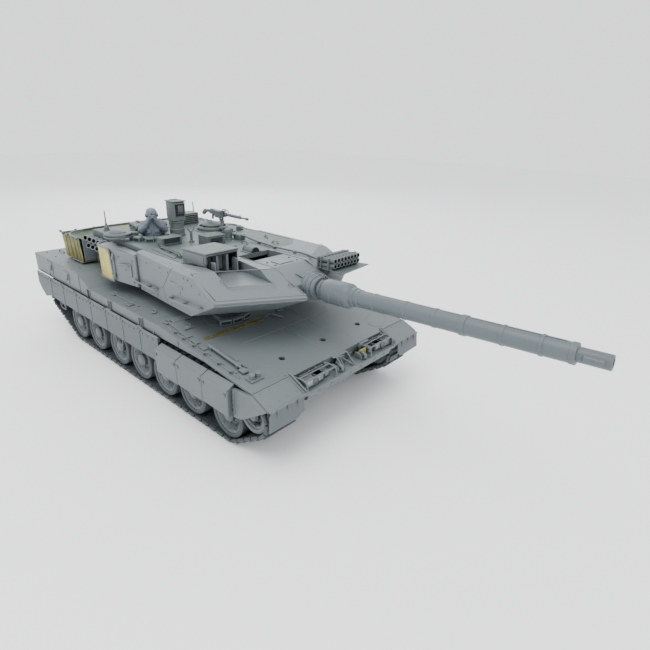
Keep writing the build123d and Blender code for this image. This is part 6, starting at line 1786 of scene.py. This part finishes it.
# Side bins: smooth grey wall behind, bright brass panel in a bent grey frame
def makeSideBins():
    bin = Shape()
    for side in (-1, 1):
        outline = [(-100.5, 78.2), (-100.5, 88.0), (-118.0, 90.6), (-138.0, 93.0), (-170.0, 93.0), (-174.0, 91.8),
            (-177.4, 89.4), (-178.0, 86.0), (-178.0, 75.0)]
        bin.prism([(x, side * y) for x, y in outline], Matrix.Translation((0, 0, 103.2)), 35.8, 0.7)
        for x, y, z in ((-106, 89.2, 132), (-106, 89.2, 108), (-130, 92.4, 133), (-118, 90.9, 120)):
            bin.bolt((x, side * y, z), (-0.12, side, 0), 0.9, 0.7)
        bin.block((-112.0, side * 90.2, 121.0), (9.0, 1.2, 14.0), 0.4, (0, 0, -side * 8))
        bin.block((-120.0, side * 84.0, 139.3), (36.0, 9.0, 1.0), 0.3)
        bin.pipe([(-128, side * 92.2, 124), (-126, side * 95.0, 126), (-112, side * 93.6, 127),
            (-110, side * 90.8, 125)], 0.8, 8, 2)
    bin.build("sideBinBodies", "turret", ["turretPlastic"], "hull_plastic", replaces=["side_bins"])
    panel, rim = Shape(), Shape()
    for side in (-1, 1):
        # the panel bends round the bin's rear corner and is a little wider at the top
        path = [(-142.0, 94.3), (-150.0, 94.5), (-162.0, 94.5), (-170.0, 94.3), (-176.0, 92.6), (-180.2, 89.4),
            (-182.0, 85.0)]
        for inset in (0.0, 0.5):
            rows = []
            for j in range(13):
                up = j / 12
                rows.append([])
                for i, (x, y) in enumerate(path):
                    shift = 3.4 * up * (1 - i / (len(path) - 1))
                    dimple = 0.3 * noise.noise(Vector((x * 0.08, up * 4.0, 5.0)))
                    rows[-1].append((x - shift, side * (y - inset + dimple), 102.9 + 35.4 * up))
            panel.takeGrid(rows, unmoved)
        panel.pipe([(x, side * (y + 0.2), 109.0) for x, y in path[:-1]], 0.25, 6, 1)
        frameLine = [(-141.0, 94.8, 102.8), (-141.6, 94.8, 112.0), (-143.0, 95.0, 128.0), (-144.6, 94.8, 135.6),
            (-148.6, 94.8, 138.9),
                     (-162.0, 95.0, 139.2), (-172.0, 94.2, 139.2), (-181.0, 89.4, 139.0), (-183.0, 85.0, 138.6)]
        rim.pipe([(x, side * y, z) for x, y, z in frameLine], 1.15, 10, 2)
        rim.pipe([(x, side * (y + 0.6), 102.9) for x, y in path], 0.7, 8, 1)
        for x, y, z in frameLine[1:8:2]:
            rim.bolt((x, side * (y + 1.0), z), (0, side, 0.2), 0.8, 0.6)
        rim.block((-139.4, side * 93.6, 120.0), (3.4, 2.2, 30.0), 0.7)
        for z in (110.0, 130.0):
            rim.block((-138.6, side * 94.8, z), (3.0, 1.6, 3.4), 0.4)
    panel.build("brassPanels", "turret", ["brass"], "etched_brass")
    rim.build("panelFrames", "turret", ["turretPlastic"], "hull_plastic")


makeBasket(basketLook)
makeBasketCover(basketLook)
makeSideBins()
print("stowage ready")


# Rolled tarps: one long sheet wound round itself, drawn in by two crossed straps
tarpLook = {"turns": 2.6, "core": 1.8, "pitch": 1.15, "wall": 0.5, "spots": [(-190.0, 43.0), (-203.0, 39.0)]}


def makeTarps(look):
    for index, (x, length) in enumerate(look["spots"]):
        rolled = Shape()
        across, steps = 34, 120
        outer, inner = [], []
        for j in range(steps + 1):
            share = j / steps
            angle = 2 * pi * look["turns"] * share + 0.8
            radius = look["core"] + look["pitch"] * look["turns"] * share
            outer.append([])
            inner.append([])
            for i in range(across + 1):
                t = i / across
                y = -20.0 + length * (t - 0.5)
                pinch = 0.45 * (math.exp(-((t - 0.25) * 16) ** 2) + math.exp(-((t - 0.75) * 16) ** 2)) * share
                lump = 0.28 * noise.noise(Vector((angle * 0.9, y * 0.13, index * 5.0))) * share
                r = radius - pinch + lump
                for rows, inset in ((outer, 0.0), (inner, look["wall"])):
                    rows[-1].append((
                        x + (r - inset) * cos(angle),
                        y + 0.5 * sin(angle * 1.3) * abs(t - 0.5) * 2,
                        149.4 + (r - inset) * sin(angle),
                    ))
        rolled.takeGrid(outer, unmoved)
        rolled.takeGrid(inner, unmoved)
        for rim in (0, -1):
            rolled.takeGrid([outer[rim], inner[rim]], unmoved)
            rolled.takeGrid([[row[rim] for row in outer], [row[rim] for row in inner]], unmoved)
        made = rolled.build(f"rolledTarp{index + 1}", "turret", ["canvas"], "canvas", 50.0,
                            ["roof_tarps"] if index == 0 else [])
        straps = Shape()
        for t in (0.25, 0.75):
            y = -20.0 + length * (t - 0.5)
            straps.turned([(5.1, -1.1), (5.35, -0.9), (5.35, 0.9), (5.1, 1.1), (4.7, 0)],
                along((x, y, 149.5), (0, 1, 0)), 30)
            straps.block((x + 3.0, y, 154.2), (2.2, 2.6, 0.7), 0.2, (0, 34, 0))
        straps.build(f"tarpStraps{index + 1}", "turret", ["dullBrass"], "etched_brass")


# Crew figure in an open hatch: jacket, gloved hands at the glasses, helmet and goggles
figureLook = {"at": (-148.0, -39.0), "turn": -26.0, "voxel": 0.00032, "wrinkle": 0.34}


def limb(part, points, radii, flat=1.0, sides=20):
    # A tapered tube through points with rounded ends
    points = [Vector(p) for p in points]
    dense, widths = [], []
    for k in range(len(points) - 1):
        for s in range(8):
            share = s / 8
            dense.append(points[k].lerp(points[k + 1], share))
            widths.append(radii[k] + (radii[k + 1] - radii[k]) * share)
    dense.append(points[-1])
    widths.append(radii[-1])
    rows = []
    for k, spot in enumerate(dense):
        run = dense[min(k + 1, len(dense) - 1)] - dense[max(k - 1, 0)]
        frameAt = along(spot, run)
        rows.append([
            frameAt @ Vector((widths[k] * cos(a), widths[k] * flat * sin(a), 0))
            for a in (2 * pi * i / sides for i in range(sides))
        ])
    part.takeGrid(rows, unmoved, closeColumns=True)
    for spot, radius, run in ((dense[0], widths[0], dense[0] - dense[1]),
        (dense[-1], widths[-1], dense[-1] - dense[-2])):
        part.turned([(radius * cos(a), radius * flat * sin(a)) for a in (pi / 2 * i / 6 for i in range(7))],
                    along(spot, run), sides)


def egg(part, at, size, turn=(0.0, 0.0, 0.0), tag=0):
    rows = []
    for j in range(1, 16):
        up = pi * j / 16
        rows.append([(size[0] * sin(up) * cos(a), size[1] * sin(up) * sin(a), size[2] * cos(up))
                     for a in (2 * pi * i / 28 for i in range(28))])
    part.takeGrid(rows, place(at, turn), tag, closeColumns=True)
    for row, sign in ((rows[0], 1), (rows[-1], -1)):
        part.takeGrid([row, [(0, 0, sign * size[2])] * len(row)], place(at, turn), tag, closeColumns=True)


def fuse(made, voxel, wrinkle, seed):
    # One skin over the overlapping forms, with folds running across the sleeves and chest
    remesh = made.modifiers.new("skin", "REMESH")
    remesh.mode = "VOXEL"
    remesh.voxel_size = voxel
    relax = made.modifiers.new("relax", "SMOOTH")
    relax.factor = 0.5
    relax.iterations = 4
    skinned = bpy.data.meshes.new_from_object(made.evaluated_get(bpy.context.evaluated_depsgraph_get()))
    made.modifiers.clear()
    if len(skinned.materials) == 0:
        skinned.materials.append(made.data.materials[0])
    moved = []
    for vertex in skinned.vertices:
        spot = 1000 * vertex.co
        fold = noise.noise(Vector((spot.x * 0.22, spot.y * 0.26, spot.z * 0.55 + seed)))
        crease = 1 - abs(noise.noise(Vector((spot.x * 0.3 + seed, spot.y * 0.3, spot.z * 0.85))))
        moved.extend(vertex.co + vertex.normal * 0.001 * wrinkle * (0.8 * fold + 0.9 * (crease ** 6 - 0.4)))
    skinned.vertices.foreach_set("co", moved)
    skinned.shade_smooth()
    old, made.data = made.data, skinned
    bpy.data.meshes.remove(old)


def makeFigure(look):
    x, y = look["at"]
    whole = place((x, y, 143.0), (0, 0, look["turn"]))
    jacket = Shape()
    body = [(0, -18.0, 7.0, 9.0), (0, -8.0, 7.4, 9.4), (0, 0, 7.8, 9.8), (0, 6, 7.6, 9.8), (-0.3, 12, 7.6, 10.4),
        (-0.6, 17, 7.0, 10.8), (-0.6, 20, 6.0, 9.4), (-0.4, 22, 4.4, 6.0)]
    rows = [[(c + a * cos(t), b * sin(t), z) for t in (2 * pi * i / 36 for i in range(36))] for c, z, a, b in body]
    jacket.takeGrid(rows, unmoved, closeColumns=True)
    for row, z in ((rows[0], -18.0), (rows[-1], 22.4)):
        jacket.takeGrid([row, [(0, 0, z)] * 36], unmoved, closeColumns=True)
    for side in (-1, 1):
        limb(jacket, [(-0.6, side * 9.4, 17.4), (2.0, side * 13.0, 9.4), (7.4, side * 9.4, 15.0),
            (11.4, side * 3.8, 24.6)], [4.1, 3.9, 3.2, 2.5])
        jacket.block((7.0, side * 4.6, 10.0), (2.2, 5.2, 5.4), 1.0, (0, 0, side * 18))
    jacket.turned([(5.2, 20.0), (5.4, 22.0), (4.9, 24.2), (4.2, 24.4), (3.8, 21.0)], unmoved, 28)
    jacket.turned([(8.1, -0.4), (8.5, 0.4), (8.5, 2.4), (8.1, 3.2), (7.0, 3.2), (7.0, -0.4)],
        Matrix.Scale(1.17, 4, (0, 1, 0)), 36)
    jacket.points = [whole @ p for p in jacket.points]
    made = jacket.build("crewJacket", "turret", ["figureResin"], "resin", 60.0, ["crew_figure"])
    fuse(made, look["voxel"], look["wrinkle"], 2.0)
    head = Shape()
    egg(head, (2.0, 0, 28.0), (4.5, 3.9, 5.4))
    limb(head, [(0, 0, 21), (1.0, 0, 25)], [3.0, 3.0])
    egg(head, (6.2, 0, 26.6), (1.1, 0.75, 1.5), (0, -18, 0))
    egg(head, (4.6, 0, 23.9), (1.9, 2.1, 1.3))
    egg(head, (5.9, 0, 24.6), (0.7, 1.3, 0.32))
    for side in (-1, 1):
        egg(head, (4.3, side * 2.3, 26.4), (1.5, 1.3, 1.4))
        for finger in range(4):
            limb(head, [(11.6, side * (2.2 + 0.2 * finger), 25.0 + 0.9 * finger),
                (13.6, side * (3.6 - 0.2 * finger), 25.6 + 0.9 * finger),
                        (14.2, side * 2.4, 26.2 + 0.9 * finger)], [0.75, 0.68, 0.6], sides=10)
        egg(head, (12.0, side * 3.6, 26.0), (1.7, 1.4, 2.3), (0, 20, 0))
        limb(head, [(11.4, side * 2.6, 24.8), (13.4, side * 1.3, 24.6)], [0.8, 0.7], sides=10)
    head.points = [whole @ p for p in head.points]
    made = head.build("crewHead", "turret", ["figureResin"], "resin", 60.0)
    fuse(made, 0.00026, 0.0, 4.0)
    kit = Shape()
    # helmet shell with ear cups, a rim and goggles over the brow
    kit.turned([(5.9, -0.6), (6.25, 0.0), (6.2, 1.5), (5.9, 3.4), (5.0, 5.4), (3.4, 6.8), (1.6, 7.4), (0, 7.6)],
        place((1.2, 0, 28.6), (0, 8, 0)), 36)
    kit.turned([(6.3, -0.4), (6.55, -0.1), (6.5, 0.5), (6.2, 0.6)], place((1.2, 0, 28.6), (0, 8, 0)), 36)
    for side in (-1, 1):
        egg(kit, (1.2, side * 5.2, 27.4), (2.5, 1.6, 3.0))
        kit.turned([(2.0, 0), (2.1, 0.5), (1.6, 0.9), (0, 1.0)], along((1.2, side * 6.4, 27.4), (0, side, 0)), 20)
        # goggle lens with a raised frame
        kit.turned([(0, 0.6), (1.5, 0.5), (1.6, 0.9), (2.0, 0.9), (2.1, 0.3), (1.9, -0.6)],
            along((6.7, side * 2.1, 31.7), (1, side * 0.22, 0.34)), 22)
        # glasses held to the eyes
        kit.turned([
            (0, -0.4), (1.35, -0.4), (1.45, 0.2), (1.3, 0.6), (1.3, 2.0), (1.7, 2.8), (1.9, 4.0), (1.9, 7.2),
            (2.1, 7.4), (2.1, 8.0), (1.75, 8.1), (1.6, 7.2), (0, 7.0),
        ], along((7.1, side * 1.75, 27.6), (1, side * 0.04, 0)), 22)
    kit.pipe([(6.7, -4.0, 31.8), (2, -6.3, 31.0), (-3.6, -4.2, 30.6), (-5.2, 0, 30.4), (-3.6, 4.2, 30.6),
        (2, 6.3, 31.0), (6.7, 4.0, 31.8)], 0.55, 8, 3)
    kit.block((10.6, 0, 27.8), (5.2, 1.6, 1.6), 0.4)
    kit.pipe([(4, -6.6, 25.6), (7, -4.6, 24.4), (7.8, -1.4, 24.2)], 0.3, 6, 2)
    kit.block((8.2, -0.8, 24.2), (0.9, 1.3, 0.7), 0.2)
    kit.turned([(0, 0), (1.0, 0), (1.0, 0.5), (0, 0.6)], along((7.6, 4.6, 10.6), (1, 0.2, 0)), 12)
    kit.block((7.4, 0, 8.0), (0.8, 1.4, 22.0), 0.3)
    kit.points = [whole @ p for p in kit.points]
    kit.build("crewKit", "turret", ["figureResin"], "resin", 45.0)


makeTarps(tarpLook)
makeFigure(figureLook)
print("soft goods and figure ready")


# Gun: bulged cover over the mantlet, ribbed root collar, evacuator, sleeve bands, muzzle block
gunLook = {"pivot": (8.0, 0.0, 123.6), "tilt": 2.8}


def makeGun(look):
    tilt = radians(look["tilt"])
    axis = Vector((cos(tilt), 0, sin(tilt)))
    line = along(look["pivot"], axis)
    cover = Shape()
    # faceted mantlet block, its plates bevelled and bolted
    cover.prism([(8.0, 140.6), (12.0, 144.0), (45.0, 144.0), (76.3, 133.3), (76.3, 115.6), (40.0, 107.6),
        (8.0, 106.6)],
                place((0, 23.4, 0), (90, 0, 0)), 46.8, 0.9)
    for side in (-1, 1):
        for x, z in ((20, 139), (40, 139.6), (58, 134), (70, 128), (70, 120), (44, 112)):
            cover.bolt((x, side * 23.4, z), (0, side, 0), 0.9, 0.5)
        cover.prism([(30, 112), (66, 119), (66, 131), (44, 138), (30, 138)],
            place((0, side * 23.6 + (0.5 if side > 0 else 0), 0), (90, 0, 0)), 0.6, 0.2)
    for y in (-15, 15):
        cover.bolt((28, y, 144.2), (0, 0, 1), 1.1, 0.7)
        cover.bolt((40, y, 144.2), (0, 0, 1), 1.1, 0.7)
    cover.block((34, 0, 144.3), (14, 20, 1.0), 0.4)
    cover.prism([(0, -9), (9, -7), (9, 7), (0, 9)], place((61.5, 0, 138.7), (0, 18.5, 0)), 0.8, 0.3)
    # root collar: three folds of soft cover drawn in by bands
    profile, steps = [], 40
    for i in range(steps + 1):
        share = i / steps
        across = 66.2 + 13.8 * share
        fold = abs(sin(share * pi * 3))
        profile.append((14.6 - 4.2 * share ** 1.4 + 0.9 * fold - 0.4, across))
    profile.append((8.4, 80.4))
    cover.turned(profile, line, 44)
    for across, radius in ((66.6, 15.0), (71.2, 13.9), (75.8, 12.6), (80.0, 11.0)):
        cover.turned([(radius - 0.3, -0.6), (radius + 0.2, -0.5), (radius + 0.2, 0.5), (radius - 0.3, 0.6)],
            line @ Matrix.Translation((0, 0, across)), 44)
    # port beside the barrel
    cover.turned([(0, 8.8), (1.0, 9.0), (1.0, 10.0), (1.9, 10.0), (1.9, 8.4), (2.6, 8.0), (2.8, 0)],
        along((70.0, 15.5, 134.0), (1, 0, 0)), 20)
    cover.build("mantletCover", "gun_cradle", ["gunPlastic"], "hull_plastic", 34.0, ["gun_mantlet"])
    barrel = Shape()
    barrel.turned([
        (7.9, 66.0), (7.9, 82.4), (9.2, 82.6), (9.3, 85.4), (8.6, 85.8), (8.6, 87.2), (10.4, 87.8), (11.5, 89.4),
        (11.95, 91.4),
        (11.95, 100.0), (11.7, 100.3), (11.7, 101.3), (11.95, 101.6), (11.95, 112.4), (11.7, 112.7),
        (11.7, 113.5), (11.95, 113.8),
        (11.9, 116.4), (11.3, 118.4), (10.3, 119.8), (9.3, 121.0), (9.2, 124.8), (8.4, 125.2), (8.4, 129.6),
        (7.85, 130.0),
    ], line, 56)
    bands = [146.0, 178.0, 206.0, 231.0, 262.0, 290.0]
    sleeve = [(7.85, 130.0)]
    for across in bands:
        raised = 8.4 if across == 231.0 else 8.12
        half = 2.2 if across == 231.0 else 1.1
        radius = 7.85 - 0.0022 * (across - 130)
        sleeve += [(radius, across - half - 0.3), (raised, across - half), (raised, across + half),
            (radius, across + half + 0.3)]
    sleeve += [(7.5, 306.0), (7.45, 308.2), (8.0, 308.6), (8.0, 312.3), (7.6, 312.6), (5.6, 312.8), (5.5, 313.2),
        (5.5, 333.4), (5.2, 333.9), (3.9, 333.95), (3.72, 333.5)]
    barrel.turned(sleeve, line, 56)
    # dark bore inside the muzzle: painted shade
    barrel.turned([(3.72, 333.5), (3.7, 300.0), (0, 299.0)], line, 32, tag=1)
    # strap screws along the sleeve, paired on each band
    for across in bands + [96.0, 108.0]:
        radius = 11.9 if across < 120 else 8.1
        for turn in (-70, 0, 70, 180):
            angle = radians(turn)
            out = Vector((-sin(tilt) * cos(angle), sin(angle), cos(tilt) * cos(angle)))
            spot = line @ Vector((0, 0, across))
            barrel.bolt(spot + out * (radius - 0.1), out, 0.55, 0.55)
    for side in (-1, 1):
        for across in range(140, 300, 20):
            spot = line @ Vector((0, 0, across)) + Vector((0, side * 7.7, 0))
            barrel.rivet(spot, (0, side, 0), 0.4)
    # sleeve seam down the top
    for start, end in ((131.0, 228.0), (234.0, 305.0)):
        barrel.block(line @ Vector((0, 0, (start + end) / 2)) + Vector((-sin(tilt), 0, cos(tilt))) * 7.75,
            (end - start, 1.5, 0.35), 0.1, (0, -look["tilt"], 0))
    # muzzle reference block beside the mouth
    spot = line @ Vector((0, 0, 323.5)) + Vector((0, -5.6, 0))
    barrel.block(spot, (13.0, 4.0, 5.0), 0.6, (0, -look["tilt"], 0))
    barrel.block(spot + Vector((0, -1.8, 1.8)), (7.0, 1.4, 1.6), 0.3, (0, -look["tilt"], 0))
    barrel.build("barrelTube", "barrel", ["gunPlastic", "recessShadeAndBlackPlastic"], "hull_plastic", 32.0, ["gun_barrel"])


makeGun(gunLook)
print("gun ready")


# Floor, world and camera
floorMesh = bpy.data.meshes.new("floor")
floorMesh.from_pydata([(-4, -4, 0), (4, -4, 0), (4, 4, 0), (-4, 4, 0)], [], [(0, 1, 2, 3)])
floor = bpy.data.objects.new("floor", floorMesh)
bpy.context.scene.collection.objects.link(floor)
paper = bpy.data.materials.new("paper")
paper.use_nodes = True
paperShader = paper.node_tree.nodes["Principled BSDF"]
paperShader.inputs["Base Color"].default_value = stageSetup["floorColor"]
paperShader.inputs["Roughness"].default_value = 0.9
floorMesh.materials.append(paper)

sky = bpy.data.worlds.new("sky")
sky.use_nodes = True
glow = sky.node_tree.nodes["Background"]
glow.inputs["Color"].default_value = stageSetup["skyColor"]
glow.inputs["Strength"].default_value = stageSetup["skyStrength"]
bpy.context.scene.world = sky

makeLights(lightSetup)
makeCamera(cameraSetup)
